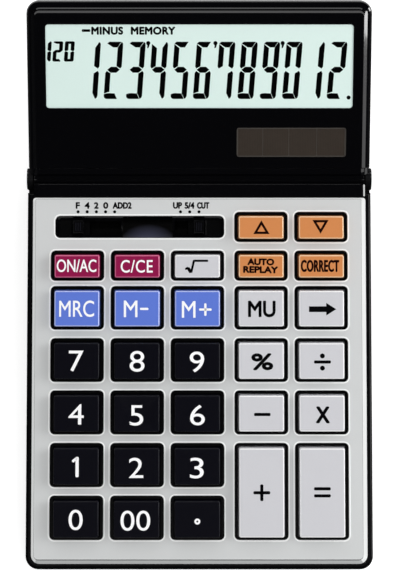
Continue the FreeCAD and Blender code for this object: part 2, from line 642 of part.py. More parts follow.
def lower_case():
    body = new_body("LowerCase")
    fall = "tan(deck_slope * 1 deg)"
    side = new_sketch(body, "case_side", "YZ_Plane")
    polygon(side, [("0", "-seam_depth"), ("0", "-front_height"),
                   (REAR, f"-(front_height + {REAR} * {fall})"), (REAR, "-seam_depth")])
    wedge = pad(side, "body_width", symmetric=True)
    corners = round_edges(wedge, "case_corners", "body_corner", lambda edge:
                          near(edge.YMax, 0) and near(edge.XLength, 0) and edge.ZLength > 1)
    round_edges(corners, "case_bottom", "case_rounding", lambda edge:
                edge.ZMax < -s.front_height + 1e-3 and edge.YMin < s.body_reach / 2)
    ears = new_sketch(body, "ear_round", "YZ_Plane")
    circles(ears, [("body_reach", "-hinge_depth")], "ear_radius")
    pad(ears, "body_width", symmetric=True)
    webs = new_sketch(body, "ear_web", "YZ_Plane")
    rectangle(webs, "body_reach", "-seam_depth", "2 * ear_radius", "2 * (seam_depth - hinge_depth)")
    pad(webs, "body_width", symmetric=True)
    # The cradle for the barrel, open above and relieved behind for the neck
    cradle = new_sketch(body, "case_cradle", "YZ_Plane")
    circles(cradle, [("body_reach", "-hinge_depth")], CRADLE)
    pocket(cradle, f"2 * {EAR_INSIDE}", symmetric=True)
    relief = new_sketch(body, "case_relief", "YZ_Plane")
    polygon(relief, [("body_reach", f"-(hinge_depth + {CRADLE})"),
                     (f"{REAR} + case_wall",
                      f"-(hinge_depth + {CRADLE} + neck_relief * (1 + case_wall / ear_radius))"),
                     (f"{REAR} + case_wall", "seam_depth"), ("body_reach", "seam_depth")])
    pocket(relief, f"2 * {EAR_INSIDE}", symmetric=True)
    mouth = new_sketch(body, "case_mouth", "YZ_Plane")
    polygon(mouth, [("body_reach - 2 * ear_radius", "-seam_depth"), ("body_reach", "-seam_depth"),
                    ("body_reach", "seam_depth"), ("body_reach - 2 * ear_radius", "seam_depth")])
    pocket(mouth, f"2 * {EAR_INSIDE}", symmetric=True)
    # The room inside, under a wall that follows the cradle
    inside = new_sketch(body, "case_inside", "YZ_Plane")
    under = f"(hinge_depth + {CRADLE} + case_wall)"
    back = f"({REAR} - case_wall)"
    front = f"(body_reach - {CRADLE} - case_wall)"
    polygon(inside, [("case_wall", "-seam_depth + case_wall"),
                     ("case_wall", f"-(front_height - case_wall + case_wall * {fall})"),
                     (back, f"-(front_height - case_wall + {back} * {fall})"),
                     (back, f"-({under} + neck_relief)"), ("body_reach", f"-{under}"),
                     (front, f"-{under}"), (front, "-seam_depth + case_wall")])
    pocket(inside, "body_width - 2 * case_wall", symmetric=True)
    for row in ("front_post_y", "rear_post_y"):
        posts = new_sketch(body, f"case_{row}", lift="-post_depth")
        small_rounds(posts, [(f"{side}post_x", row) for side in ("-", "")], "post_radius")
        pad(posts, f"front_height + {row} * {fall} - case_wall / 2 - post_depth", reverse=True)
    # The battery well and its cover's seat are square to the underside
    well = new_sketch(body, "well_walls", lift="-front_height", tilt="deck_slope")
    rectangle(well, "battery_x", "battery_y", "well_width + 2 * well_wall",
              "well_length + 2 * well_wall")
    pad(well, "well_depth + well_wall")
    room = new_sketch(body, "well_room", lift="-front_height", tilt="deck_slope")
    rectangle(room, "battery_x", "battery_y", "well_width", "well_length")
    pocket(room, "well_depth", reverse=True)
    seat = new_sketch(body, "cover_seat", lift="-front_height", tilt="deck_slope")
    rectangle(seat, "battery_x", "battery_y", "well_width + 2 * cover_ledge",
              "well_length + 2 * cover_ledge")
    pocket(seat, "cover_thickness", reverse=True)
    # Screw wells from below, then the holes for the shanks
    wells = new_sketch(body, "screw_wells", lift="-(post_depth + post_web)")
    small_rounds(wells, post_centres(), "head_radius + head_clearance")
    pocket(wells)
    holes = new_sketch(body, "screw_holes", lift="-post_depth")
    small_rounds(holes, post_centres(), "shank_radius + shank_clearance")
    pocket(holes, "2 * post_web")
    cable = new_sketch(body, "case_cable_slot", lift="-seam_depth")
    rectangle(cable, "0", f"body_reach - {CRADLE}", "cable_width + 2 * cable_gap",
              "2 * (case_wall + cradle_gap)")
    pocket(cable, "cable_slot_drop")
    bores = new_sketch(body, "ear_bores", "YZ_Plane")
    circles(bores, [("body_reach", "-hinge_depth")], "pin_radius + pin_press_gap")
    pocket(bores, FAR, symmetric=True)
    sub_part(body, "lower_case", DESK)


def rubber_dome_sheet():
    body = new_body("DomeSheet")
    outline = new_sketch(body, "sheet_outline", lift="-" + depth("board_top"))
    rectangle(outline, "0", "board_front + board_length / 2", "board_width", "board_length")
    pad(outline, "sheet_thickness")

    on_key_layout(
        body, "dome", "-" + depth("sheet_top"), ("dome_width", "dome_width", "dome_width"),
        lambda sketch, x, y, width, length: cut_rectangle(sketch, x, y, width, width, "dome_corner"),
        lambda sketch: pad(sketch, "dome_height"))
    taper_sides(body.Tip, "dome_slopes", "dome_slope", "dome_height", height("sheet_top"))
    open_for_switches(body, "sheet", "board_top")
    sub_part(body, "rubber_dome_sheet", DESK)


def open_for_switches(body, name, level):
    """Clears the rubber below the switch bay, where the wipers run on the board."""
    sketch = new_sketch(body, f"{name}_switch_room", lift="-" + depth(level))
    rectangle(sketch, "bay_x", BAY_Y, "bay_width + 2 * bay_wall", "bay_length + 2 * bay_wall")
    pocket(sketch, "sheet_thickness", reverse=True)


def keyboard_circuit_board():
    body = new_body("KeyboardBoard")
    outline = new_sketch(body, "board_outline", lift="-" + depth("board_under"))
    rectangle(outline, "0", "board_front + board_length / 2", "board_width", "board_length")
    pad(outline, "board_thickness")
    sub_part(body, "keyboard_circuit_board", DESK)


def key_master(name, length):
    """A hollow cap on a flange with a plunger, centred in its opening at the plate's top."""
    body = new_body(name)
    tall = depth("flange_under") + " + key_rise"
    outline = new_sketch(body, name + "_outline", lift="-" + depth("flange_under"))
    cut_rectangle(outline, "0", "0", "key_width", length, "key_corner")
    cap = taper_sides(pad(outline, tall), name + "_draft", "key_draft", tall, s.key_rise, reverse=True)
    bevel_edges(cap, name + "_bevel", "key_bevel", "key_bevel",
                lambda edge: near(edge.ZMin, s.key_rise) and near(edge.ZMax, s.key_rise))
    flange = new_sketch(body, name + "_flange", lift="-" + depth("flange_under"))
    rectangle(flange, "0", "0", "key_width + 2 * (key_draft + flange_reach)",
              f"{length} + 2 * (key_draft + flange_reach)")
    pad(flange, "flange_thickness")
    hollow = new_sketch(body, name + "_hollow", lift="-" + depth("flange_under"))
    rectangle(hollow, "0", "0", "key_width - 2 * key_wall", f"{length} - 2 * key_wall")
    pocket(hollow, depth("flange_under") + " + key_rise - key_crown", reverse=True)
    plunger = new_sketch(body, name + "_plunger", lift="-" + depth("plunger_end"))
    rectangle(plunger, "0", "0", "plunger_width", "plunger_width")
    pad(plunger, depth("plunger_end") + " + key_rise - key_crown")
    return body


def keys():
    full = key_master("FullKey", "key_length")
    small = key_master("SmallKey", "small_key_length")
    tall = key_master("TallKey", "(key_length + row_pitch)")
    first_small_row = s.first_row_y + 4 * s.row_pitch + s.small_row_step
    rows = [
        (s.first_row_y, full, ["0", "00", "point"]),
        (s.first_row_y + s.row_pitch, full, ["1", "2", "3"]),
        (s.first_row_y + 2 * s.row_pitch, full, ["4", "5", "6", "minus", "times"]),
        (s.first_row_y + 3 * s.row_pitch, full, ["7", "8", "9", "percent", "divide"]),
        (s.first_row_y + 4 * s.row_pitch, full, ["memory_recall", "memory_minus", "memory_plus",
                                                 "mark_up", "shift"]),
        (s.first_row_y + s.row_pitch / 2, tall, [None, None, None, "plus", "equals"]),
        (first_small_row, small, ["all_clear", "clear_entry", "square_root", "replay", "correct"]),
        (first_small_row + s.top_row_step, small, [None, None, None, "step_up", "step_down"]),
    ]
    for y, master, names in rows:
        for column, name in enumerate(names):
            if name is None:
                continue
            copy = new_body(f"Key_{name}")
            base = doc.addObject("PartDesign::FeatureBase", f"Key_{name}_base")
            copy.Group = [base]
            base.BaseFeature = master
            copy.Tip = base
            x = s.first_column_x + column * s.column_pitch + (s.group_gap if column > 2 else 0)
            sub_part(copy, f"key_{name}", DESK, x, y)


def switches():
    """Each knob with the slider below its slot, standing at one end of its travel, and its wiper."""
    wiper_z = height("board_top") + s.wiper_gap
    bay_y = s.first_row_y + 4 * s.row_pitch + s.small_row_step + s.top_row_step
    for name, centre, offset in (("decimal", s.decimal_switch_x, -2), ("rounding", s.rounding_switch_x, 1)):
        x = centre + offset * s.detent_pitch
        body = new_body(f"Knob_{name}")
        thumb = new_sketch(body, f"{name}_thumb", lift="-" + depth("slider_top"))
        rectangle(thumb, "0", "0", "knob_width", "knob_length")
        grip = pad(thumb, depth("slider_top") + " + knob_rise")
        bevel_edges(grip, f"{name}_bevel", "knob_bevel", "knob_bevel",
                    lambda edge: near(edge.ZMin, s.knob_rise) and near(edge.ZMax, s.knob_rise))
        slider = new_sketch(body, f"{name}_slider", lift=f"-({depth('slider_top')} + slider_thickness)")
        rectangle(slider, "0", "0", "slider_width", "slider_length")
        pad(slider, "slider_thickness")
        leg = new_sketch(body, f"{name}_leg", lift=f"-({depth('board_top')} - wiper_gap - wiper_thickness)")
        rectangle(leg, "0", "0", "knob_width", "knob_length")
        pad(leg, f"{depth('board_top')} - wiper_gap - wiper_thickness - {depth('slider_top')}")
        sub_part(body, f"{name}_switch_knob", DESK, x, bay_y)
        wiper = box(f"Wiper_{name}", "knob_width", "slider_length", "wiper_thickness",
                    x, bay_y - s.slider_length / 2, wiper_z)
        sub_part(group(f"Wiper_{name}_set", [wiper]), f"{name}_switch_wiper", DESK)


def case_hardware():
    screws, feet = [], []
    for x in (-s.post_x, s.post_x):
        for y in (s.front_post_y, s.rear_post_y):
            at = Vector(x, y, -s.post_depth - s.post_web - s.head_height)
            head = prism(f"ScrewHead{len(screws)}", "head_radius", "head_height", at)
            shank = prism(f"ScrewShank{len(screws)}", "shank_radius",
                          "head_height + post_web + case_screw_grip", at)
            screws.append(fuse(f"Screw{len(screws)}", [head, shank]))
        for y in (s.front_foot_y, s.rear_foot_y):
            at = Vector(x * s.foot_x / s.post_x, y, -s.foot_height)
            feet.append(prism(f"Foot{len(feet)}", "foot_radius", "foot_height", at,
                              sides=MANY_SIDES))
    sub_part(group("CaseScrews", screws), "case_screws", DESK)
    sub_part(group("Feet", feet), "rubber_feet", DESK.multiply(UNDERSIDE))


def battery():
    frame = DESK.multiply(UNDERSIDE)
    cover = new_body("BatteryCover")
    outline = new_sketch(cover, "cover_outline")
    rectangle(outline, "battery_x", "battery_y", "well_width + 2 * (cover_ledge - cover_gap)",
              "well_length + 2 * (cover_ledge - cover_gap)")
    pad(outline, "cover_thickness")
    groove = new_sketch(cover, "cover_grip")
    rectangle(groove, "battery_x + well_width / 2 - grip_width / 2", "battery_y - grip_pitch",
              "grip_width", "grip_groove")
    pattern(pocket(groove, "cover_thickness / 3", reverse=True), 1, 3, "grip_width", "grip_pitch")
    sub_part(cover, "battery_cover", frame)
    # The cell lies on the inner contact, and the outer contact presses it from the cover's side
    cell_x = s.battery_x - s.well_width / 2 + s.cell_radius + 2 * s.contact_thickness
    top = s.well_depth - s.contact_thickness
    cell = cylinder("Cell", "cell_radius", "cell_height",
                    Vector(cell_x, s.battery_y, top - s.cell_height))
    sub_part(group("CellSet", [cell]), "button_cell", frame)
    inner = box("InnerContact", "2 * cell_radius", "contact_width", "contact_thickness",
                cell_x, s.battery_y - s.contact_width / 2, top)
    outer = box("OuterContact", "2 * cell_radius", "contact_width", "contact_thickness",
                cell_x, s.battery_y - s.contact_width / 2, top - s.cell_height - s.contact_thickness)
    sub_part(group("Contacts", [inner, outer]), "battery_contacts", frame)


def hinge_hardware():
    """Pins pressed into the ears, a washer on each, and a cap over each ear."""
    ear_outside = s.body_width / 2
    barrel_end = ear_outside - s.ear_thickness - s.barrel_end_gap
    pins, washers, caps = [], [], []
    for side in (-1, 1):
        out = Vector(side, 0, 0)
        start = Vector(side * (barrel_end - s.pin_reach), s.body_reach, -s.hinge_depth)
        pins.append(cylinder(f"Pin{len(pins)}", "pin_radius",
                             "pin_reach + barrel_end_gap + ear_thickness", start, out))
        middle = barrel_end + (s.barrel_end_gap - s.washer_thickness) / 2
        at = Vector(side * middle, s.body_reach, -s.hinge_depth)
        disc = prism(f"WasherDisc{len(washers)}", "washer_radius", "washer_thickness", at, out)
        eye = prism(f"WasherEye{len(washers)}", "(pin_radius + pin_running_gap) / cos(15 deg)",
                    "washer_thickness", at, out)
        washer = doc.addObject("Part::Cut", f"Washer{len(washers)}")
        washer.Base = disc
        washer.Tool = eye
        washers.append(washer)
        edge = Vector(side * ear_outside, s.body_reach, -s.hinge_depth)
        caps.append(prism(f"Cap{len(caps)}", "cap_radius", "cap_thickness", edge, out, MANY_SIDES))
    sub_part(group("Pins", pins), "hinge_pins", DESK)
    sub_part(group("Washers", washers), "hinge_friction_washers", DESK)
    sub_part(group("Caps", caps), "hinge_end_caps", DESK)


def head_outline(body, name, seam, thickness):
    """The head's plan, rounded at its far corners and square at the hinge, as a slab."""
    sketch = new_sketch(body, name + "_outline", lift=seam)
    below = "(head_start - 2 * head_corner)"
    rounded_rectangle(sketch, "0", f"(head_length + {below}) / 2", "head_width",
                      f"head_length - {below}", "head_corner")
    pad(sketch, thickness)
    trim = new_sketch(body, name + "_trim", lift=seam)
    rectangle(trim, "0", f"({below} - head_corner + head_start) / 2", "head_width + head_corner",
              f"head_start - {below} + head_corner")
    return pocket(trim, thickness, reverse=True)


def head_post_centres():
    rows = ("head_start + head_post_inset", "head_length - head_post_inset")
    return [(f"{side}head_post_x", y) for side in ("-", "") for y in rows]


def head_front_bezel():
    body = new_body("FrontBezel")
    slab = head_outline(body, "bezel", "-head_seam", "head_front + head_seam")
    round_edges(slab, "bezel_edge", "bezel_rounding", lambda edge:
                near(edge.ZMin, s.head_front) and near(edge.ZMax, s.head_front)
                and edge.YMax > s.head_start + 1e-3)
    # Room inside, behind the front wall
    inside = new_sketch(body, "bezel_inside", lift="-head_seam")
    rectangle(inside, "0", "(head_start + head_length) / 2", "head_width - 2 * head_wall",
              "head_length - head_start - 2 * head_wall")
    pocket(inside, "head_front + head_seam - bezel_wall", reverse=True)
    # Barrel and neck
    barrel = new_sketch(body, "barrel_round", "YZ_Plane")
    circles(barrel, [("0", "0")], "barrel_radius")
    pad(barrel, f"2 * ({EAR_INSIDE} - barrel_end_gap)", symmetric=True)
    neck = new_sketch(body, "neck_side", "YZ_Plane")
    polygon(neck, [("0", "neck_front"), ("0", "-barrel_radius"), ("head_start", "-neck_back"),
                   ("head_start", "neck_front")])
    pad(neck, f"2 * ({EAR_INSIDE} - barrel_end_gap)", symmetric=True)
    seat = new_sketch(body, "lens_seat", lift="head_front - lens_seat")
    rectangle(seat, "0", "lens_start + lens_length / 2", "lens_width + 2 * lens_gap",
              "lens_length + 2 * lens_gap")
    pocket(seat, "lens_seat", reverse=True)
    windows = new_sketch(body, "bezel_windows", lift="head_front")
    rectangle(windows, "0", "glass_start + glass_length / 2", "glass_width + 2 * glass_gap",
              "glass_length + 2 * glass_gap")
    rectangle(windows, "cell_window_x", "cell_window_y", "solar_width + 2 * glass_gap",
              "solar_length + 2 * glass_gap")
    pocket(windows, "2 * bezel_wall")
    bosses = new_sketch(body, "bezel_bosses", lift="-head_seam")
    small_rounds(bosses, head_post_centres(), "head_post_radius")
    pad(bosses, "head_seam + head_front - bezel_wall")
    drilled = new_sketch(body, "bezel_boss_holes", lift="-head_seam")
    small_rounds(drilled, head_post_centres(), "head_shank_radius")
    pocket(drilled, "head_screw_grip", reverse=True)
    # The way for the cable: a window in the barrel's lower front, then through the neck
    window = new_sketch(body, "barrel_window", "YZ_Plane")
    rectangle(window, "-barrel_radius / 2", "0", "barrel_radius + case_wall", "cable_window")
    pocket(window, "cable_width + 2 * cable_gap", symmetric=True)
    tunnel = new_sketch(body, "neck_tunnel", "YZ_Plane")
    rectangle(tunnel, "head_start / 2", "0", "head_start + 2 * head_wall",
              "2 * (cable_thickness + cable_gap)")
    pocket(tunnel, "cable_width + 2 * cable_gap", symmetric=True)
    bore = new_sketch(body, "barrel_bore", "YZ_Plane")
    circles(bore, [("0", "0")], "pin_radius + pin_running_gap")
    pocket(bore, FAR, symmetric=True)
    sub_part(body, "head_front_bezel", HEAD)


def head_rear_cover():
    body = new_body("RearCover")
    slab = head_outline(body, "cover", "-head_back", "head_back - head_seam")
    sloped = bevel_edges(slab, "cover_slope", "neck_slope", "head_back - neck_back", lambda edge:
                         near(edge.YMax, s.head_start) and near(edge.ZMax, -s.head_back))
    bevel_edges(sloped, "cover_edge", "cover_bevel", "cover_bevel", lambda edge:
                near(edge.ZMin, -s.head_back) and near(edge.ZMax, -s.head_back)
                and edge.YMax > (s.head_start + s.head_length) / 2)
    inside = new_sketch(body, "cover_inside", lift="-(head_back - head_wall)")
    rectangle(inside, "0", "(head_start + head_length) / 2 + head_wall / 2",
              "head_width - 2 * head_wall", "head_length - head_start - 3 * head_wall")
    pocket(inside, "head_back", reverse=True)
    posts = new_sketch(body, "cover_posts", lift="-(head_back - head_wall)")
    small_rounds(posts, head_post_centres(), "head_post_radius")
    pad(posts, "head_back - head_wall - head_seam")
    props = new_sketch(body, "board_props", lift="-(head_back - head_wall)")
    for side in ("-", ""):
        rectangle(props, f"{side}(display_board_width / 3)", "glass_start + glass_length / 2",
                  "head_wall", "glass_length - 2 * head_wall")
    pad(props, f"head_back - head_wall - {BOARD_BACK}")
    wells = new_sketch(body, "cover_wells", lift="-(head_seam + head_wall)")
    small_rounds(wells, head_post_centres(), "head_screw_radius + shank_clearance")
    pocket(wells)
    holes = new_sketch(body, "cover_holes", lift="-head_seam")
    small_rounds(holes, head_post_centres(), "head_shank_radius + shank_clearance")
    pocket(holes, "2 * head_wall")
    sub_part(body, "head_rear_cover", HEAD)


def display_stack():
    """Lens, glass, rubber strip, board, chip and solar cell, from the front to the back."""
    lens = new_body("Lens")
    outline = new_sketch(lens, "lens_outline", lift="head_front - lens_seat")
    rectangle(outline, "0", "lens_start + lens_length / 2", "lens_width", "lens_length")
    panel = pad(outline, "lens_thickness")
    front = s.head_front - s.lens_seat + s.lens_thickness
    bevel_edges(panel, "lens_bevel", "1.6 * lens_bevel", "lens_bevel",
                lambda edge: near(edge.ZMin, front) and near(edge.ZMax, front))
    sub_part(lens, "display_lens", HEAD)
    lens_back = s.head_front - s.lens_seat
    glass_back = lens_back - s.glass_thickness
    glass = box("Glass", "glass_width", "glass_length", "glass_thickness", 0, s.glass_start, glass_back)
    sub_part(group("GlassSet", [glass]), "lcd_panel", HEAD)
    cell = box("SolarCell", "solar_width", "solar_length", "solar_thickness", s.cell_window_x,
               s.cell_window_y - s.solar_length / 2, lens_back - s.solar_thickness)
    sub_part(group("SolarCellSet", [cell]), "solar_cell", HEAD)
    strip = box("Strip", "zebra_width", "zebra_length", "zebra_height", 0, s.glass_start,
                glass_back - s.zebra_height)
    sub_part(group("StripSet", [strip]), "zebra_strip", HEAD)
    board_back = glass_back - s.zebra_height - s.board_thickness
    board = box("DisplayBoard", "display_board_width", "glass_length", "board_thickness", 0,
                s.glass_start, board_back)
    sub_part(group("DisplayBoardSet", [board]), "display_circuit_board", HEAD)
    chip = doc.addObject("Part::Wedge", "Chip")
    for path, formula in (("Xmin", "0"), ("Zmin", "0"), ("Xmax", "chip_width"), ("Zmax", "chip_width"),
                          ("Ymin", "0"), ("Ymax", "chip_height"), ("X2min", "chip_draft"),
                          ("Z2min", "chip_draft"), ("X2max", "chip_width - chip_draft"),
                          ("Z2max", "chip_width - chip_draft")):
        bind(chip, path, formula)
    chip.Placement = Placement(
        Vector(-s.chip_width / 2, s.glass_start + (s.glass_length + s.chip_width) / 2, board_back),
        Rotation(Vector(1, 0, 0), -90))
    sub_part(group("ChipSet", [chip]), "driver_chip", HEAD)


def ribbon_cable():
    """A flat cable from the keyboard board up through the cradle's slot and the barrel."""
    below = height("board_under") - s.cable_thickness
    edge = s.board_front + s.board_length
    left = -s.cable_width / 2
    route = [
        Vector(left, edge - s.cable_landing, below),
        Vector(left, edge, below),
        Vector(left, s.body_reach - s.barrel_radius - s.case_wall,
               -s.seam_depth - s.cable_slot_drop / 2),
        Vector(left, s.body_reach, -s.hinge_depth),
        HINGE.multVec(Vector(left, s.cable_end, 0)),
    ]
    lift = Vector(0, 0, s.cable_thickness / 2)
    line = Part.makePolygon([point + lift for point in route])
    band = line.makeOffset2D(s.cable_thickness / 2, join=2, fill=True, openResult=True)
    cable = doc.addObject("Part::Feature", "Ribbon")
    cable.Shape = band.extrude(Vector(s.cable_width, 0, 0))
    sub_part(cable, "ribbon_cable", DESK)


face_plate()
keyboard_frame()
lower_case()
rubber_dome_sheet()
keyboard_circuit_board()
keys()
switches()
case_hardware()
battery()
hinge_hardware()
head_front_bezel()
head_rear_cover()
display_stack()
ribbon_cable()
doc.recompute()

# Stand the calculator on its feet, centred over the origin
outer = [piece.Shape for piece in sub_parts if piece.Label in
         ("lower_case", "rubber_feet", "head_front_bezel", "head_rear_cover", "hinge_end_caps")]
extent = Part.makeCompound(outer).optimalBoundingBox()
stand = Placement(Vector(0, -extent.Center.y, -extent.ZMin), Rotation())
for piece in sub_parts:
    piece.Placement = stand.multiply(piece.Placement)

# Check every feature, then write every sub-part
for item in doc.Objects:
    if "Invalid" in item.State or "Error" in item.State:
        raise RuntimeError(f"{item.Label} failed: {item.State}")
    if item.TypeId == "PartDesign::Pocket" and item.BaseFeature:
        if item.BaseFeature.Shape.Volume - item.Shape.Volume < 1e-3:
            raise RuntimeError(f"{item.Label} cuts nothing")
for piece in sub_parts:
    if piece.Shape.isNull() or not piece.Shape.isValid():
        raise RuntimeError(f"{piece.Label} has no valid shape")
os.makedirs("parts", exist_ok=True)
for piece in sub_parts:
    piece.Shape.exportStep(f"parts/{piece.Label}.step")
print(f"{len(sub_parts)} sub-parts written")
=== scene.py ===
import math

import bmesh
import bpy
from mathutils import Matrix, Vector


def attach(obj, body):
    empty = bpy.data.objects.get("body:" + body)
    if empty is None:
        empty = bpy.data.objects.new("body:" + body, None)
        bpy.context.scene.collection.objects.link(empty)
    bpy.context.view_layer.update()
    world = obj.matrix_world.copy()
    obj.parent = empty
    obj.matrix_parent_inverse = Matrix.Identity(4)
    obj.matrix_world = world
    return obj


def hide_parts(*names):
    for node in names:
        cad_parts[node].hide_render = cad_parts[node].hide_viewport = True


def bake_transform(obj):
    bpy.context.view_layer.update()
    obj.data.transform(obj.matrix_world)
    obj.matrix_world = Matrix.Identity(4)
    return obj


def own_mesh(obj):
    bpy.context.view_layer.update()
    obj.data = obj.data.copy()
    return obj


# Desktop calculator with a tilting display head. Sizes are in millimetres on the deck or on the
# head, and each finished piece is placed in metres over the CAD frame.

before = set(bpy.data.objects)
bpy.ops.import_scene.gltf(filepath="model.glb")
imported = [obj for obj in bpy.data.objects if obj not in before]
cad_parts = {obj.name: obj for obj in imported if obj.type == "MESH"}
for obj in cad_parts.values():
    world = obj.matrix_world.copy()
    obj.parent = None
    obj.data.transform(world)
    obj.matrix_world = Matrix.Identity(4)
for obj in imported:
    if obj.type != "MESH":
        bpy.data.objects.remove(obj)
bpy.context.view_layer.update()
print("frame loaded")

stance = dict(slope=6.0, tilt=17.0, deckY=-101.8475, deckZ=14.1288, hingeY=141.3, hingeZ=-4.75,
              undersideZ=-13.0)
millimetres = Matrix.Scale(0.001, 4)


def turnAboutX(degrees):
    return Matrix.Rotation(math.radians(degrees), 4, "X")


onDeck = (millimetres @ Matrix.Translation((0, stance["deckY"], stance["deckZ"]))
          @ turnAboutX(stance["slope"]))
onHead = (onDeck @ Matrix.Translation((0, stance["hingeY"], stance["hingeZ"]))
          @ turnAboutX(stance["tilt"]))
underCase = (onDeck @ Matrix.Translation((0, 0, stance["undersideZ"]))
             @ turnAboutX(-stance["slope"]))


# Surface patterns shared by the materials

def patternGroup(name, inputs, outputs):
    group = bpy.data.node_groups.new(name, "ShaderNodeTree")
    for label, kind, value in inputs:
        socket = group.interface.new_socket(label, in_out="INPUT", socket_type=kind)
        socket.default_value = value
    for label, kind in outputs:
        group.interface.new_socket(label, in_out="OUTPUT", socket_type=kind)
    entry = group.nodes.new("NodeGroupInput")
    leave = group.nodes.new("NodeGroupOutput")
    return group, entry.outputs, leave.inputs


def noiseIn(group, place, scale, detail=3.0, distortion=0.0):
    noise = group.nodes.new("ShaderNodeTexNoise")
    noise.inputs["Detail"].default_value = detail
    noise.inputs["Distortion"].default_value = distortion
    group.links.new(place, noise.inputs["Vector"])
    if isinstance(scale, (int, float)):
        noise.inputs["Scale"].default_value = scale
    else:
        group.links.new(scale, noise.inputs["Scale"])
    return noise.outputs["Fac"]


def sumIn(group, operation, first, second, clamp=False):
    node = group.nodes.new("ShaderNodeMath")
    node.operation = operation
    node.use_clamp = clamp
    for socket, value in zip(node.inputs, (first, second)):
        if isinstance(value, (int, float)):
            socket.default_value = value
        else:
            group.links.new(value, socket)
    return node.outputs[0]


def setInputs(node, values):
    for label, value in values.items():
        node.inputs[label].default_value = value
    return node


def mouldedSurface():
    # moulded plastic: cloudy tone, finger marks in the gloss and a fine grain
    group, given, made = patternGroup(
        "mouldedSurface",
        [("Colour", "NodeSocketColor", (0.5, 0.5, 0.5, 1)), ("Roughness", "NodeSocketFloat", 0.4),
         ("Tone", "NodeSocketFloat", 0.05), ("Marks", "NodeSocketFloat", 0.05),
         ("Grain", "NodeSocketFloat", 2500.0)],
        [("Colour", "NodeSocketColor"), ("Roughness", "NodeSocketFloat"),
         ("Height", "NodeSocketFloat")])
    place = group.nodes.new("ShaderNodeTexCoord").outputs["Object"]
    cloud = noiseIn(group, place, 55.0)
    speck = noiseIn(group, place, given["Grain"], 2.0)
    both = sumIn(group, "ADD", cloud, speck)
    swing = sumIn(group, "MULTIPLY", sumIn(group, "SUBTRACT", both, 1.0), given["Tone"])
    factor = sumIn(group, "ADD", swing, 1.0)
    scaled = group.nodes.new("ShaderNodeVectorMath")
    scaled.operation = "SCALE"
    group.links.new(given["Colour"], scaled.inputs[0])
    group.links.new(factor, scaled.inputs["Scale"])
    group.links.new(scaled.outputs[0], made["Colour"])
    marks = noiseIn(group, place, 38.0, 4.0, 0.6)
    smear = sumIn(group, "MULTIPLY", sumIn(group, "SUBTRACT", marks, 0.5), given["Marks"])
    group.links.new(sumIn(group, "ADD", smear, given["Roughness"], True), made["Roughness"])
    group.links.new(speck, made["Height"])
    return group


def stripedSurface():
    # evenly spaced lines across X, as on a solar cell, a flat cable or a circuit board
    group, given, made = patternGroup(
        "stripedSurface",
        [("Colour", "NodeSocketColor", (0.5, 0.5, 0.5, 1)),
         ("Line", "NodeSocketColor", (0.5, 0.5, 0.5, 1)), ("Pitch", "NodeSocketFloat", 0.001),
         ("Width", "NodeSocketFloat", 0.2), ("Unevenness", "NodeSocketFloat", 0.1)],
        [("Colour", "NodeSocketColor"), ("Height", "NodeSocketFloat")])
    place = group.nodes.new("ShaderNodeTexCoord").outputs["Object"]
    parts = group.nodes.new("ShaderNodeSeparateXYZ")
    group.links.new(place, parts.inputs[0])
    wander = sumIn(group, "MULTIPLY", noiseIn(group, place, 130.0), given["Unevenness"])
    steps = sumIn(group, "DIVIDE", parts.outputs["X"], given["Pitch"])
    saw = sumIn(group, "FRACT", sumIn(group, "ADD", steps, wander), 0.0)
    line = sumIn(group, "LESS_THAN", saw, given["Width"])
    mix = group.nodes.new("ShaderNodeMix")
    mix.data_type = "RGBA"
    group.links.new(line, mix.inputs["Factor"])
    group.links.new(given["Colour"], mix.inputs["A"])
    group.links.new(given["Line"], mix.inputs["B"])
    group.links.new(mix.outputs["Result"], made["Colour"])
    group.links.new(line, made["Height"])
    return group


def paintedSpotSurface():
    # a colour that fades to black away from its centre, used as a painted reflection
    group, given, made = patternGroup(
        "paintedSpotSurface",
        [("Colour", "NodeSocketColor", (0.5, 0.5, 0.5, 1)), ("Centre", "NodeSocketVector", (0, 0, 0)),
         ("Reach", "NodeSocketVector", (1, 1, 1))],
        [("Colour", "NodeSocketColor")])
    steps = [group.nodes.new("ShaderNodeVectorMath") for step in range(4)]
    for step, operation in zip(steps, ("SUBTRACT", "DIVIDE", "LENGTH", "SCALE")):
        step.operation = operation
    group.links.new(group.nodes.new("ShaderNodeTexCoord").outputs["Object"], steps[0].inputs[0])
    group.links.new(given["Centre"], steps[0].inputs[1])
    group.links.new(steps[0].outputs[0], steps[1].inputs[0])
    group.links.new(given["Reach"], steps[1].inputs[1])
    group.links.new(steps[1].outputs[0], steps[2].inputs[0])
    away = sumIn(group, "POWER", steps[2].outputs["Value"], 1.5)
    group.links.new(given["Colour"], steps[3].inputs[0])
    group.links.new(sumIn(group, "SUBTRACT", 1.0, away, True), steps[3].inputs["Scale"])
    group.links.new(steps[3].outputs[0], made["Colour"])
    return group


moulded = mouldedSurface()
striped = stripedSurface()
paintedSpotGroup = paintedSpotSurface()


def placeGroup(material, group, values):
    node = material.node_tree.nodes.new("ShaderNodeGroup")
    node.node_tree = group
    return setInputs(node, values)


reliefDepth = 0.0002


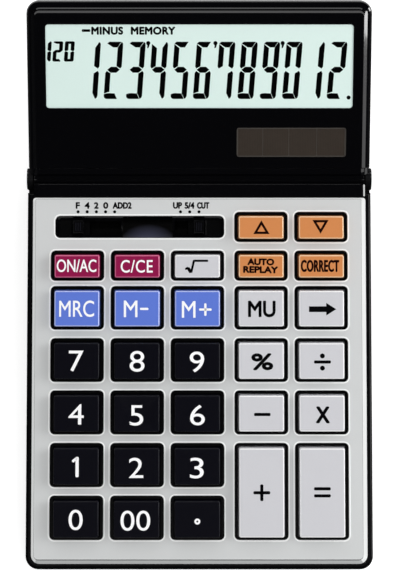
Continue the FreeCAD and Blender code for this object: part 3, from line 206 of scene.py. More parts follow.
def finish(colour, roughness, tone=0.05, marks=0.06, grain=2500.0, bump=0.08, metallic=0.0,
           coat=0.0, coatRoughness=0.05, specular=0.5, stripes=None, paintedSpot=None):
    material = bpy.data.materials.new("finish")
    material.use_nodes = True
    links = material.node_tree.links
    shader = material.node_tree.nodes["Principled BSDF"]
    setInputs(shader, {"Metallic": metallic, "Specular IOR Level": specular, "Coat Weight": coat,
                       "Coat Roughness": coatRoughness})
    surface = placeGroup(material, moulded, dict(Colour=(*colour, 1), Roughness=roughness,
                                                 Tone=tone, Marks=marks, Grain=grain))
    for group, values in ((striped, stripes), (paintedSpotGroup, paintedSpot)):
        if values:
            pattern = placeGroup(material, group, dict(values, Colour=(*colour, 1)))
            links.new(pattern.outputs["Colour"], surface.inputs["Colour"])
    links.new(surface.outputs["Colour"], shader.inputs["Base Color"])
    links.new(surface.outputs["Roughness"], shader.inputs["Roughness"])
    relief = material.node_tree.nodes.new("ShaderNodeBump")
    setInputs(relief, {"Strength": bump, "Distance": reliefDepth})
    links.new(surface.outputs["Height"], relief.inputs["Height"])
    links.new(relief.outputs["Normal"], shader.inputs["Normal"])
    return material


finishes = dict(
    caseBlack=finish((0.0012, 0.0012, 0.0018), 0.10, marks=0.04, bump=0.01,
                     specular=0.3, coat=1.0, coatRoughness=0.05),
    # dark blue, brightest at the middle of the bridge's front and fading to black away from there: a
    # painted reflection
    bridgePaintedReflection=finish((0.034, 0.036, 0.062), 0.38, bump=0.01, specular=0.10,
                      paintedSpot=dict(Centre=(-0.0185, 0.0168, 0.0255), Reach=(0.0095, 0.0054, 0.05))),
    frameBlack=finish((0.0012, 0.0012, 0.0017), 0.24, bump=0.02, specular=0.15),
    caseUnder=finish((0.0040, 0.0040, 0.0048), 0.36, grain=1800.0, bump=0.08,
                     specular=0.15),
    plateSilver=finish((0.655, 0.668, 0.668), 0.42, grain=5200.0, bump=0.05, metallic=0.12,
                       marks=0.08),
    # the plate's bevels: a lighter copy of the silver at the sides and rear is a painted highlight, a
    # darker copy at the front is painted shade
    plateSidePaintedHighlight=finish((0.74, 0.75, 0.745), 0.30, tone=0.02, specular=0.4),
    plateFrontPaintedShade=finish((0.43, 0.44, 0.44), 0.30, tone=0.02, specular=0.3),
    # a near-white copy of the silver for the openings' rounded rims: a painted highlight
    openingRimPaintedHighlight=finish((0.90, 0.91, 0.90), 0.30, tone=0.02),
    lensBlack=finish((0.0012, 0.0012, 0.0018), 0.08, marks=0.03, bump=0.0,
                     specular=0.3, coat=1.0, coatRoughness=0.03),
    displayMint=finish((0.695, 0.845, 0.797), 0.35, tone=0.03, grain=1500.0, bump=0.01,
                       specular=0.2),
    segmentBlack=finish((0.0012, 0.0013, 0.0014), 0.5, tone=0.2, specular=0.0),
    solarCell=finish((0.040, 0.030, 0.023), 0.22, tone=0.22, grain=700.0, bump=0.03,
                     stripes=dict(Line=(0.030, 0.024, 0.019, 1), Pitch=0.0006, Width=0.3,
                                  Unevenness=0.05)),
    solarFrame=finish((0.062, 0.055, 0.047), 0.3),
    # each key colour is followed by a lighter copy for its rounded top edge: a painted highlight
    keyBlack=finish((0.0022, 0.0022, 0.0056), 0.34, bump=0.06, specular=0.11),
    keyBlackEdge=finish((0.0045, 0.0045, 0.0085), 0.26, bump=0.03, specular=0.16),
    keyRed=finish((0.262, 0.003, 0.060), 0.34, bump=0.06, specular=0.15),
    keyRedEdge=finish((0.62, 0.13, 0.26), 0.25),
    keyBlue=finish((0.094, 0.175, 0.650), 0.34, bump=0.10),
    keyBlueEdge=finish((0.46, 0.52, 0.86), 0.25),
    keyOrange=finish((0.630, 0.226, 0.061), 0.34, bump=0.10),
    keyOrangeEdge=finish((0.90, 0.62, 0.38), 0.25),
    keyGrey=finish((0.590, 0.590, 0.620), 0.36, bump=0.10),
    keyGreyEdge=finish((0.90, 0.90, 0.90), 0.25),
    inkWhite=finish((0.93, 0.93, 0.94), 0.45, tone=0.02),
    inkBlack=finish((0.0022, 0.0022, 0.0028), 0.5, tone=0.1, specular=0.0),
    inkBrown=finish((0.012, 0.003, 0.002), 0.5, tone=0.1, specular=0.0),
    steel=finish((0.52, 0.52, 0.53), 0.28, metallic=1.0, grain=900.0, marks=0.15),
    domeRubber=finish((0.20, 0.20, 0.21), 0.6, bump=0.15),
    footRubber=finish((0.022, 0.022, 0.023), 0.75, grain=1400.0, bump=0.4),
    boardGreen=finish((0.015, 0.10, 0.035), 0.35, stripes=dict(
        Line=(0.03, 0.16, 0.06, 1), Pitch=0.0022, Width=0.35, Unevenness=0.6)),
    brass=finish((0.70, 0.48, 0.18), 0.3, metallic=1.0, marks=0.15),
    chipResin=finish((0.012, 0.012, 0.013), 0.3, bump=0.3, grain=900.0),
    stripRubber=finish((0.55, 0.30, 0.34), 0.6, stripes=dict(
        Line=(0.02, 0.02, 0.02, 1), Pitch=0.0002, Width=0.5, Unevenness=0.0)),
    cableGrey=finish((0.50, 0.50, 0.50), 0.45, stripes=dict(
        Line=(0.30, 0.30, 0.31, 1), Pitch=0.001, Width=0.5, Unevenness=0.0)),
)
for name, material in finishes.items():
    material.name = name
print("finishes made")


# Shapes

sharp = dict(turn=40.0, flatTurn=2.0, flatArea=15.0, share=0.2)
inkLayer = dict(thickness=0.03, copies=8, lift=0.0015, tiny=0.001)


def painted(shape, material):
    for side in shape.faces:
        side.material_index = material
    return shape


def moved(shape, vec):
    bmesh.ops.translate(shape, vec=vec, verts=shape.verts)
    return shape


def turned(shape, degrees, axis="Z"):
    matrix = Matrix.Rotation(math.radians(degrees), 3, axis)
    bmesh.ops.rotate(shape, cent=(0, 0, 0), matrix=matrix, verts=shape.verts)
    return shape


def outlineFace(west, east, south, north, frontCorner, rearCorner, z, segments=6):
    # a flat face in a rectangle's outline, with its own radius at the front and at the rear
    shape = bmesh.new()
    corners = bmesh.ops.create_grid(shape, x_segments=1, y_segments=1, size=0.5)["verts"]
    sides = {frontCorner: [], rearCorner: []}
    for corner in corners:
        sides[rearCorner if corner.co.y > 0 else frontCorner].append(corner)
        corner.co = (east if corner.co.x > 0 else west, north if corner.co.y > 0 else south, z)
    for radius, pair in sides.items():
        if radius:
            bmesh.ops.bevel(shape, geom=pair, offset=radius, offset_type="OFFSET",
                            segments=segments, profile=0.5, affect="VERTICES", material=-1)
    return shape


def roundedFace(width, length, corner, x=0.0, y=0.0, z=0.0, segments=5):
    return outlineFace(x - width / 2, x + width / 2, y - length / 2, y + length / 2, corner, corner,
                       z, segments)


def rimOf(shape):
    shape.faces.ensure_lookup_table()
    points = [corner.co.copy() for corner in shape.faces[0].verts]
    shape.free()
    return points


def loft(sections, crisp=False):
    # one outline carried through the next: west, east, south, north, radii, level, material
    shape = outlineFace(*sections[0][:7])
    shape.faces.ensure_lookup_table()
    top = shape.faces[0]
    before = [corner.co.copy() for corner in top.verts]
    for section in sections[1:]:
        after = rimOf(outlineFace(*section[:7]))
        ring = bmesh.ops.inset_individual(shape, faces=[top], thickness=0.0005,
                                          depth=0.0005)["faces"]
        for corner in top.verts:
            near = min(range(len(before)), key=lambda i: (corner.co - before[i]).length_squared)
            corner.co = after[near]
        for side in ring + [top]:
            side.material_index = section[7]
        for edge in top.edges:
            edge.seam = crisp
        before = after
    return shape, top


def closeRing(shape, top):
    # the last outline is joined to the first
    bmesh.ops.delete(shape, geom=[top], context="FACES_ONLY")
    bmesh.ops.bridge_loops(shape, edges=[edge for edge in shape.edges if edge.is_boundary])
    return shape


def loftedRing(sections, crisp=False):
    return closeRing(*loft(sections, crisp))


def loftedBlock(sections):
    shape = loft(sections)[0]
    closeBack(shape)
    return shape


def inset(shape, face, thickness, depth):
    return bmesh.ops.inset_individual(shape, faces=[face], thickness=thickness, depth=depth,
                                      use_even_offset=True)["faces"]


def climb(shape, steps):
    # carries the first face up through insets and rises, each with its material
    shape.faces.ensure_lookup_table()
    top = shape.faces[0]
    for inward, rise, material in steps:
        for side in inset(shape, top, inward, rise):
            side.material_index = material
        top.material_index = material
    return top


def closeBack(shape):
    rim = [edge for edge in shape.edges if edge.is_boundary]
    return bmesh.ops.contextual_create(shape, geom=rim)["faces"]


def prism(radius, sides, x, y, z, steps):
    # a round shape that climbs from a closed circle
    shape = bmesh.new()
    bmesh.ops.create_circle(shape, cap_ends=True, radius=radius, segments=sides,
                            matrix=Matrix.Translation((x, y, z)))
    climb(shape, steps)
    closeBack(shape)
    return shape


def ringBead(width, length, corner, steps, x, y, z):
    shape = roundedFace(width, length, corner, x, y, z)
    return closeRing(shape, climb(shape, steps))


def softBlock(width, length, height, x, y, z, corner=0.4, edge=0.15, material=0):
    # a block that starts at z, with rounded corners and a softened upper edge
    shape = roundedFace(width, length, corner, x, y, z, segments=3)
    climb(shape, [(0, height - edge, material), (edge * 0.3, edge * 0.7, material),
                  (edge * 0.7, edge * 0.3, material)])
    closeBack(shape)
    return painted(shape, material)


def settle(shape):
    # faces outward, and edges kept sharp where they turn far or border a large flat face
    bmesh.ops.remove_doubles(shape, verts=shape.verts, dist=0.0004)
    bmesh.ops.recalc_face_normals(shape, faces=shape.faces)
    for side in shape.faces:
        side.smooth = True
    for edge in shape.edges:
        if len(edge.link_faces) != 2:
            edge.smooth = False
            continue
        turn = math.degrees(edge.calc_face_angle(0.0))
        small, large = sorted(side.calc_area() for side in edge.link_faces)
        besideFlat = large > sharp["flatArea"] and small < sharp["share"] * large
        edge.smooth = turn < sharp["turn"] and not (besideFlat and turn > sharp["flatTurn"])
        if edge.seam:
            edge.smooth = False


def joined(shapes):
    whole = bmesh.new()
    for shape in shapes:
        settle(shape)
        part = bpy.data.meshes.new("part")
        shape.to_mesh(part)
        shape.free()
        whole.from_mesh(part)
        bpy.data.meshes.remove(part)
    return whole


def fromObjectData(data):
    holder = bpy.data.objects.new("holder", data)
    mesh = bpy.data.meshes.new_from_object(holder)
    shape = bmesh.new()
    shape.from_mesh(mesh)
    bpy.data.objects.remove(holder)
    bpy.data.meshes.remove(mesh)
    return shape


def flatShape(loops, thickness, top, material=0):
    # a flat sheet between loops of points, the inner ones its openings
    curve = bpy.data.curves.new("sheet", "CURVE")
    curve.dimensions = "2D"
    curve.fill_mode = "BOTH"
    curve.extrude = thickness / 2
    for loop in loops:
        spline = curve.splines.new("POLY")
        spline.points.add(len(loop) - 1)
        for point, place in zip(spline.points, loop):
            point.co = (place[0], place[1], 0, 1)
        spline.use_cyclic_u = True
    shape = fromObjectData(curve)
    bpy.data.curves.remove(curve)
    return painted(moved(shape, (0, 0, top - thickness / 2)), material)


def sheetWithOpenings(outline, openings, thickness, top):
    # the openings are (width, length, corner, x, y)
    return flatShape([rimOf(outline)] + [rimOf(roundedFace(*each)) for each in openings],
                     thickness, top)


def lettering(text, width, height, x, y, z, weight=0.0, material=0, spacing=1.0, turn=0.0):
    # printed words, fitted to a box about their middle; weight thickens every stroke
    font = bpy.data.curves.new("lettering", "FONT")
    font.body = text
    font.size = 10
    font.space_character = spacing
    font.extrude = 0.5
    font.resolution_u = 5
    shape = fromObjectData(font)
    bpy.data.curves.remove(font)
    bmesh.ops.remove_doubles(shape, verts=shape.verts, dist=inkLayer["tiny"])
    bmesh.ops.dissolve_degenerate(shape, dist=inkLayer["tiny"], edges=shape.edges)
    low = Vector(min(vert.co[axis] for vert in shape.verts) for axis in range(3))
    high = Vector(max(vert.co[axis] for vert in shape.verts) for axis in range(3))
    span = high - low
    moved(shape, -(low + high) / 2)
    bmesh.ops.scale(shape, vec=((width - 2 * weight) / span.x, (height - 2 * weight) / span.y,
                                inkLayer["thickness"] / span.z), verts=shape.verts)
    painted(moved(turned(shape, turn), (x, y, z)), material)
    if not weight:
        return shape
    layers = []
    for step in range(inkLayer["copies"]):
        angle = 2 * math.pi * step / inkLayer["copies"]
        layers.append(moved(shape.copy(), (weight * math.cos(angle), weight * math.sin(angle),
                                           inkLayer["lift"] * (step + 1))))
    return joined([shape] + layers)


def cutOut(points, thickness, z, material=0):
    # a flat shape with straight sides
    shape = bmesh.new()
    face = shape.faces.new([shape.verts.new((x, y, z)) for x, y in points])
    face.normal_update()
    raised = bmesh.ops.extrude_face_region(shape, geom=[face])["geom"]
    corners = [item for item in raised if isinstance(item, bmesh.types.BMVert)]
    bmesh.ops.translate(shape, vec=(0, 0, thickness), verts=corners)
    return painted(shape, material)


def profileBar(sections):
    # a bar along X through outlines in Y and Z, each with its own x
    shape = bmesh.new()
    west, points = sections[0]
    end = shape.faces.new([shape.verts.new((west, y, z)) for y, z in points])
    end.normal_update()
    first, before = end, points
    for x, points in sections[1:]:
        inner = end
        raised = bmesh.ops.extrude_face_region(shape, geom=[end])["geom"]
        end = next(item for item in raised if isinstance(item, bmesh.types.BMFace))
        if inner.is_valid and inner is not first:
            shape.faces.remove(inner)
        for corner in end.verts:
            near = min(range(len(before)), key=lambda i: math.dist(corner.co.yz, before[i]))
            corner.co = (x, *points[near])
        before = points
    return shape


def stroke(x, y, width, height, z, thickness=0.03, material=0, turn=0.0):
    # a printed bar with rounded ends, drawn along X and turned about its middle
    shape = roundedFace(width, height, min(width, height) * 0.35, 0, 0, 0, segments=3)
    climb(shape, [(0, thickness, material)])
    closeBack(shape)
    return moved(turned(painted(shape, material), turn), (x, y, z))


def disc(radius, x, y, z, thickness=0.03, material=0, sides=20):
    return painted(prism(radius, sides, x, y, z, [(0, thickness, material)]), material)


def finishPiece(name, shape, place, materials, body):
    bmesh.ops.transform(shape, matrix=place, verts=shape.verts)
    mesh = bpy.data.meshes.new(name)
    shape.to_mesh(mesh)
    shape.free()
    for label in materials:
        mesh.materials.append(finishes[label])
    piece = bpy.data.objects.new(name, mesh)
    bpy.context.scene.collection.objects.link(piece)
    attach(piece, body)
    return piece


# Camera, at the photograph's angle

view = dict(x=0.00027, y=-0.00031, z=0.02480, distance=0.759, lean=10.8, lens=132.6)
camera = bpy.data.objects.new("camera", bpy.data.cameras.new("camera"))
bpy.context.scene.collection.objects.link(camera)
lean = math.radians(view["lean"])
camera.location = (view["x"], view["y"] - view["distance"] * math.sin(lean),
                   view["z"] + view["distance"] * math.cos(lean))
camera.rotation_euler = (lean, 0, 0)
camera.data.lens = view["lens"]
camera.data.clip_start = 0.01
bpy.context.scene.camera = camera


# The keys' places on the deck, used by the plate, the keys and the domes

grid = dict(firstX=-44.06, pitchX=21.7, groupGap=1.3, firstY=18.4, pitchY=18.86, smallStep=15.3,
            topStep=14.1)


def columnX(column):
    return grid["firstX"] + column * grid["pitchX"] + (grid["groupGap"] if column > 2 else 0)


rowY = [grid["firstY"] + row * grid["pitchY"] for row in range(5)]
rowY.append(rowY[4] + grid["smallStep"])
rowY.append(rowY[5] + grid["topStep"])
tallY = (rowY[0] + rowY[1]) / 2

# row or tall, form, first column, then the names and the finishes from there
keyRows = [
    (0, "full", 0, "0 00 point", "Black Black Black"),
    (1, "full", 0, "1 2 3", "Black Black Black"),
    (2, "full", 0, "4 5 6 minus times", "Black Black Black Grey Grey"),
    (3, "full", 0, "7 8 9 percent divide", "Black Black Black Grey Grey"),
    (4, "full", 0, "memory_recall memory_minus memory_plus mark_up shift",
     "Blue Blue Blue Grey Grey"),
    ("tall", "tall", 3, "plus equals", "Grey Grey"),
    (5, "small", 0, "all_clear clear_entry square_root replay correct",
     "Red Red Grey Orange Orange"),
    (6, "small", 3, "step_up step_down", "Orange Orange"),
]
keyPlan = {}
for row, form, firstColumn, names, colours in keyRows:
    for step, (name, colour) in enumerate(zip(names.split(), colours.split())):
        keyPlan[name] = (firstColumn + step, row, form, colour)


def keyPlace(name):
    column, row, form, colour = keyPlan[name]
    return columnX(column), tallY if row == "tall" else rowY[row]


# Face plate

plate = dict(west=-60.25, east=60.25, front=2.0, rear=133.85, frontCorner=3.1, rearCorner=0.95,
             thickness=1.0, drop=0.6, leftBevel=0.9, rightBevel=1.5, frontBevel=1.3, rearBevel=0.45,
             sideDrop=0.35, rearDrop=0.1, frontGap=0.26, fineGap=0.07, gapDepth=0.3,
             openingWidth=19.3, openingCorner=1.65, rim=0.62,
             openingLength=dict(full=15.8, small=11.0, tall=15.8 + grid["pitchY"]),
             bayX=-21.58, bayWidth=61.2, bayLength=8.1, bayCorner=1.8)
# each opening's raised rim takes material 1, the near-white copy, as a painted highlight
rimSteps = [(0.10, 0.07, 1), (0.22, 0.03, 1), (0.18, -0.04, 1), (0.10, -0.14, 1), (0.02, -0.5, 1)]
openings = []
for name in keyPlan:
    openings.append((plate["openingWidth"], plate["openingLength"][keyPlan[name][2]],
                     plate["openingCorner"], *keyPlace(name)))
openings.append((plate["bayWidth"], plate["bayLength"], plate["bayCorner"], plate["bayX"], rowY[6]))


def plateOutline(inFromLeft, inFromRight, inFromFront, inFromRear, z, material=2):
    # the plate's outline drawn in from each side by its own amount
    radii = [max(0.3, plate["frontCorner"] - inFromFront), max(0.25, plate["rearCorner"] - inFromRear)]
    return (plate["west"] + inFromLeft, plate["east"] - inFromRight, plate["front"] + inFromFront,
            plate["rear"] - inFromRear, *radii, z, material)


bevels = [plate["leftBevel"], plate["rightBevel"], plate["frontBevel"], plate["rearBevel"]]
gaps = [plate["fineGap"], plate["fineGap"], plate["frontGap"], plate["fineGap"]]
insideGap = [bevel + gap for bevel, gap in zip(bevels, gaps)]
underSheet = [bevel + 1.0 for bevel in bevels]
edgeRing = loftedRing([
    plateOutline(0, 0, 0, 0, -plate["thickness"]),
    plateOutline(0, 0, 0, 0, -plate["drop"]),
    plateOutline(*bevels, 0.0),
    plateOutline(*[bevel + 0.02 for bevel in bevels], -plate["gapDepth"], 3),
    plateOutline(*underSheet, -plate["gapDepth"], 3),
    plateOutline(*underSheet, -plate["thickness"], 3),
])
for corner in edgeRing.verts:
    # the bevel falls less at the sides and at the rear than in front
    if abs(corner.co.z + plate["drop"]) < 0.001:
        rear = corner.co.y > plate["rear"] - plate["rearCorner"]
        atSide = corner.co.y > plate["front"] + plate["frontCorner"]
        corner.co.z = -plate["rearDrop"] if rear else -plate["sideDrop"] if atSide else corner.co.z
edgeRing.normal_update()
# the bevel's front-facing faces take the darker copy: painted shade
for side in edgeRing.faces:
    if side.material_index == 2 and abs(side.normal.y) > 2 * abs(side.normal.x):
        if side.calc_center_median().y < plate["front"] + plate["frontCorner"]:
            side.material_index = 4
platePieces = [
    sheetWithOpenings(outlineFace(*plateOutline(*insideGap, 0)[:7]), openings,
                      plate["thickness"] - 0.01, 0),
    edgeRing,
]
for width, length, corner, x, y in openings:
    platePieces.append(ringBead(width + 2 * plate["rim"], length + 2 * plate["rim"],
                                corner + plate["rim"], rimSteps, x, y, -0.03))
facePlate = finishPiece("facePlate", joined(platePieces), onDeck,
                        ["plateSilver", "openingRimPaintedHighlight", "plateSidePaintedHighlight", "frameBlack", "plateFrontPaintedShade"],
                        "body")
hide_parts("face_plate")
print("face plate made")


# Labels and position dots of the two slide switches

labels = dict(height=2.42, y=131.04, dotY=128.72, dotRadius=0.56, z=0.012, weight=0.15)
words = [("F", 1.5, -44.04), ("4", 1.9, -40.66), ("2", 1.65, -37.33), ("0", 1.85, -33.92),
         ("ADD2", 6.9, -27.97), ("UP", 3.3, -7.87), ("5/4", 3.6, -3.52), ("CUT", 4.5, 1.41)]
switchMarks = [lettering(text, width, labels["height"], x, labels["y"], labels["z"],
                         labels["weight"]) for text, width, x in words]
for x in (-43.93, -40.63, -37.29, -33.96, -30.66, -6.80, -3.46, -0.09):
    switchMarks.append(disc(labels["dotRadius"], x, labels["dotY"], -0.003))
finishPiece("switchMarks", joined(switchMarks), onDeck, ["inkBlack"], "body")


# Switch bay: a glossy lining, a hollow bridge between the slots and a frame round each slot

bay = dict(frameTop=-1.0, floor=-2.4, slotWidth=(17.6, 11.0), slotX=(-37.3, -3.45), steps=16,
           bridge=(-27.7, -9.75), bridgeLength=7.6, bridgeRise=1.15, bridgeFoot=-2.41)
lining = [ringBead(plate["bayWidth"] - 0.04, plate["bayLength"] - 0.04, plate["bayCorner"],
                   [(0.10, -0.55, 0), (0.22, -0.40, 0), (0.38, -0.28, 0), (0.60, -0.12, 0)],
                   plate["bayX"], rowY[6], bay["frameTop"])]
for x, width in zip(bay["slotX"], bay["slotWidth"]):
    lining.append(ringBead(width + 0.9, 6.0, 0.5,
                           [(0.1, 0.16, 0), (0.25, 0, 0), (0.1, -0.12, 0)], x, rowY[6],
                           bay["floor"] - 0.02))
hollow = [(rowY[6] - bay["bridgeLength"] / 2, bay["bridgeFoot"]),
          (rowY[6] + bay["bridgeLength"] / 2, bay["bridgeFoot"])]
for step in range(bay["steps"] + 1):
    share = 1 - 2 * step / bay["steps"]
    hollow.append((rowY[6] + share * bay["bridgeLength"] / 2,
                   bay["bridgeFoot"] + 0.08 + bay["bridgeRise"] * share ** 2))
bridge = profileBar([(x, hollow) for x in bay["bridge"]])
# the bridge wears the painted reflection finish
finishPiece("switchBayLining", joined(lining + [painted(bridge, 1)]), onDeck, ["caseBlack", "bridgePaintedReflection"],
            "body")

# A dark sheet on the board below the slots, painted shade so that the slots read black
slotShadeSheet = dict(top=-9.5, thickness=0.1, length=10.0, ends=((-53.4, -26.0), (-15.5, 6.0)))
slotShadeSheets = [softBlock(east - west, slotShadeSheet["length"], slotShadeSheet["thickness"], (west + east) / 2, rowY[6],
                   slotShadeSheet["top"] - slotShadeSheet["thickness"], 0.4, 0.02) for west, east in slotShadeSheet["ends"]]
finishPiece("paintedSlotShade", joined(slotShadeSheets), onDeck, ["frameBlack"], "body")


# Switch knobs, with the slider and the leg that carry them

knob = dict(width=4.0, length=4.7, top=0.6, sliderTop=-4.3, sliderWidth=8.0, sliderLength=7.4,
            sliderThickness=1.0, legEnd=-9.05)
for name, x in (("decimal", -43.9), ("rounding", -0.15)):
    y = rowY[6]
    thumb = roundedFace(knob["width"], knob["length"], 0.45, x, y, knob["sliderTop"], segments=3)
    climb(thumb, [(0, knob["top"] - knob["sliderTop"] - 0.5, 0), (0.12, 0.3, 0), (0.17, 0.2, 0),
                  (0.13, -0.18, 0)])
    closeBack(thumb)
    # the ribs take the lighter black copy, a painted highlight
    ribs = [softBlock(0.35, knob["length"] - 1.7, 0.22, x + offset, y, knob["top"] - 0.22, 0.12,
                      0.08, 1) for offset in (-0.8, 0.0, 0.8)]
    slider = softBlock(knob["sliderWidth"], knob["sliderLength"], knob["sliderThickness"] - 0.001,
                       x, y, knob["sliderTop"] - knob["sliderThickness"])
    legLength = knob["sliderTop"] - knob["sliderThickness"] - knob["legEnd"]
    leg = softBlock(knob["width"], knob["length"], legLength, x, y, knob["legEnd"])
    piece = finishPiece(f"{name}Knob", joined([thumb, slider, leg] + ribs), onDeck,
                        ["frameBlack", "keyBlackEdge"], f"{name}_switch")
    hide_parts(f"{name}_switch_knob")
print("switches made")


# Keys

key = dict(width=16.1, length=dict(full=12.8, small=8.1, tall=12.8 + grid["pitchY"]), top=2.8,
           draft=0.2, corner=0.6, flangeReach=1.0, flangeTop=-3.1, flangeThickness=1.0,
           lean=0.55, leanFrom=-0.5, wall=1.2, crown=1.6, plungerWidth=4.2, plungerEnd=-5.4,
           print=0.012, edgeRise=0.40)
# the rounded top edge takes material 1, the key colour's lighter copy, as a painted highlight
edgeSteps = [(0.05, 0.18, 1), (0.11, 0.14, 1), (0.20, 0.08, 1)]
dish = dict(radius=4.2, steps=[(0.25, -0.07), (0.5, -0.08), (0.9, -0.06), (1.2, -0.03)])

# Words and signs: text, width, height, middle x, middle y (all on the deck), weight
legends = {
    "0": [("0", 5.07, 7.28, -44.12, 17.73, 0.0)],
    "00": [("0", 5.0, 7.19, -25.62, 17.46, 0.0), ("0", 5.0, 7.19, -19.98, 17.46, 0.0)],
    "2": [("2", 5.19, 7.22, -22.60, 36.25, 0.0)],
    "3": [("3", 4.93, 7.40, -0.86, 36.16, 0.0)],
    "4": [("4", 5.44, 7.25, -44.13, 55.34, 0.0)],
    "5": [("5", 4.88, 7.30, -22.50, 54.96, 0.0)],
    "6": [("6", 5.30, 7.34, -0.64, 55.07, 0.0)],
    "7": [("7", 5.28, 7.46, -44.18, 74.47, 0.0)],
    "8": [("8", 5.34, 7.50, -22.32, 74.36, 0.0)],
    "9": [("9", 5.22, 7.46, -0.82, 74.16, 0.0)],
    "memory_recall": [("MRC", 12.59, 5.93, -44.11, 93.30, 0.04)],
    "memory_minus": [("M", 4.9, 6.0, -24.70, 93.25, 0.04)],
    "memory_plus": [("M", 4.9, 6.0, -3.81, 93.05, 0.04)],
    "mark_up": [("MU", 9.92, 5.97, 22.52, 93.20, 0.20)],
    "percent": [("%", 7.89, 6.12, 22.64, 74.20, 0.29)],
    "times": [("X", 5.02, 6.04, 44.28, 55.16, 0.28)],
    "all_clear": [("ON/AC", 14.32, 4.59, -44.24, 108.82, 0.06)],
    "clear_entry": [("C/CE", 11.55, 4.63, -22.54, 108.62, 0.06, 1.08)],
    "replay": [("AUTO", 9.68, 2.50, 22.21, 110.24, 0.19, 1.0, -1.0),
               ("REPLAY", 12.58, 2.53, 22.11, 107.42, 0.19, 1.0, -1.0)],
    "correct": [("CORRECT", 13.89, 4.43, 43.54, 108.76, 0.19, 1.08)],
}
# Bars: middle x, middle y, length, width, turn
bars = {
    "1": [(-43.68, 36.54, 7.26, 1.15, 90), (-44.60, 39.05, 2.1, 0.95, 38)],
    "minus": [(22.60, 55.30, 5.92, 1.12, 0)],
    "plus": [(22.36, 27.38, 6.0, 1.12, 0), (22.36, 27.38, 5.95, 1.12, 90)],
    "equals": [(44.0, 28.80, 5.96, 1.12, 0), (44.0, 26.28, 5.96, 1.12, 0)],
    "divide": [(44.24, 74.12, 6.07, 1.12, 0)],
    "memory_minus": [(-19.80, 93.23, 3.0, 0.80, 0)],
    "memory_plus": [(2.20, 93.0, 4.5, 0.80, 0), (2.20, 93.0, 4.5, 0.80, 90)],
    "square_root": [(-4.55, 107.85, 1.3, 0.75, 35), (-3.55, 107.25, 2.2, 1.15, -58),
                    (-2.38, 108.62, 4.7, 0.80, 77), (0.62, 110.62, 5.2, 0.78, 0)],
}
dots = {"divide": [(44.24, 76.30, 0.88), (44.24, 71.92, 0.88)]}
rings = {"point": (-0.68, 17.16, 1.06, 0.34)}
outlines = {
    "shift": [(39.5, 92.1), (45.7, 92.1), (45.7, 90.85), (49.3, 93.13), (45.7, 95.4), (45.7, 94.15),
              (39.5, 94.15)],
}
triangles = {"step_up": (22.44, 122.82, 1), "step_down": (43.80, 122.94, -1)}
triangle = dict(width=5.83, height=4.96, stroke=0.85)
ink = dict(Black="inkWhite", Red="inkWhite", Blue="inkWhite", Orange="inkBrown", Grey="inkBlack")


def triangleOutline(x, y, direction, z):
    # an open triangle: the inner loop lies one stroke inside the outer
    half, high = triangle["width"] / 2, triangle["height"] / 2
    side = math.hypot(half, 2 * high)
    inFoot = triangle["stroke"]
    inTip = triangle["stroke"] * side / half
    inHalf = half * (2 * high - inFoot - inTip) / (2 * high)
    outer = [(-half, -high), (half, -high), (0, high)]
    inner = [(-inHalf, -high + inFoot), (inHalf, -high + inFoot), (0, high - inTip)]
    loops = [[(x + px, y + direction * py) for px, py in loop] for loop in (outer, inner)]
    return flatShape(loops, inkLayer["thickness"], z + inkLayer["thickness"], 2)


def ringMark(x, y, outer, inner, z):
    circle = [2 * math.pi * step / 24 for step in range(24)]
    loops = [[(x + radius * math.cos(angle), y + radius * math.sin(angle)) for angle in circle]
             for radius in (outer, inner)]
    return flatShape(loops, inkLayer["thickness"], z + inkLayer["thickness"], 2)


def keyLegend(name):
    z = key["top"] + key["print"] - 0.04
    shapes = []
    for text, width, height, x, y, weight, *rest in legends.get(name, []):
        shapes.append(lettering(text, width, height, x, y, z, weight, 2, *rest))
    for x, y, width, height, turn in bars.get(name, []):
        shapes.append(stroke(x, y, width, height, z - 0.015, material=2, turn=turn))
    for x, y, radius in dots.get(name, []):
        shapes.append(disc(radius, x, y, z - 0.015, material=2))
    if name in rings:
        shapes.append(ringMark(*rings[name], z - 0.015))
    if name in outlines:
        shapes.append(cutOut(outlines[name], 0.03, z - 0.015, 2))
    if name in triangles:
        shapes.append(triangleOutline(*triangles[name], z - 0.015))
    return shapes


def keyCap(name, form):
    x, y = keyPlace(name)
    width, length = key["width"], key["length"][form]
    foot = 2 * key["draft"]
    rise = key["top"] - key["flangeTop"] - key["edgeRise"]
    shape = roundedFace(width + foot, length + foot, key["corner"] + key["draft"], 0, 0,
                        key["flangeTop"] - 0.01)
    top = climb(shape, [(key["draft"] / 2, rise / 2, 0), (key["draft"] / 2, rise / 2 + 0.01, 0)]
                + edgeSteps + [(0.18, -0.035, 0)])
    if name == "5":
        dishTop(shape, top)
    back = closeBack(shape)[0]
    inset(shape, back, key["wall"], 0)
    inset(shape, back, 0, -(key["top"] - key["crown"] - key["flangeTop"]))
    leaned = [corner for corner in shape.verts if corner.co.z > key["leanFrom"]]
    span = key["top"] - key["leanFrom"]
    for corner in leaned:
        corner.co.y -= key["lean"] * (corner.co.z - key["leanFrom"]) / span
    flange = ringBead(width + foot + 2 * key["flangeReach"], length + foot + 2 * key["flangeReach"],
                      0.6, [(0, key["flangeThickness"], 0), (key["flangeReach"] + 0.2, 0, 0),
                            (0, -key["flangeThickness"], 0)], 0, 0,
                      key["flangeTop"] - key["flangeThickness"])
    plunger = softBlock(key["plungerWidth"], key["plungerWidth"],
                        key["top"] - key["crown"] - key["plungerEnd"], 0, 0, key["plungerEnd"])
    return moved(joined([shape, flange, plunger]), (x, y, 0))


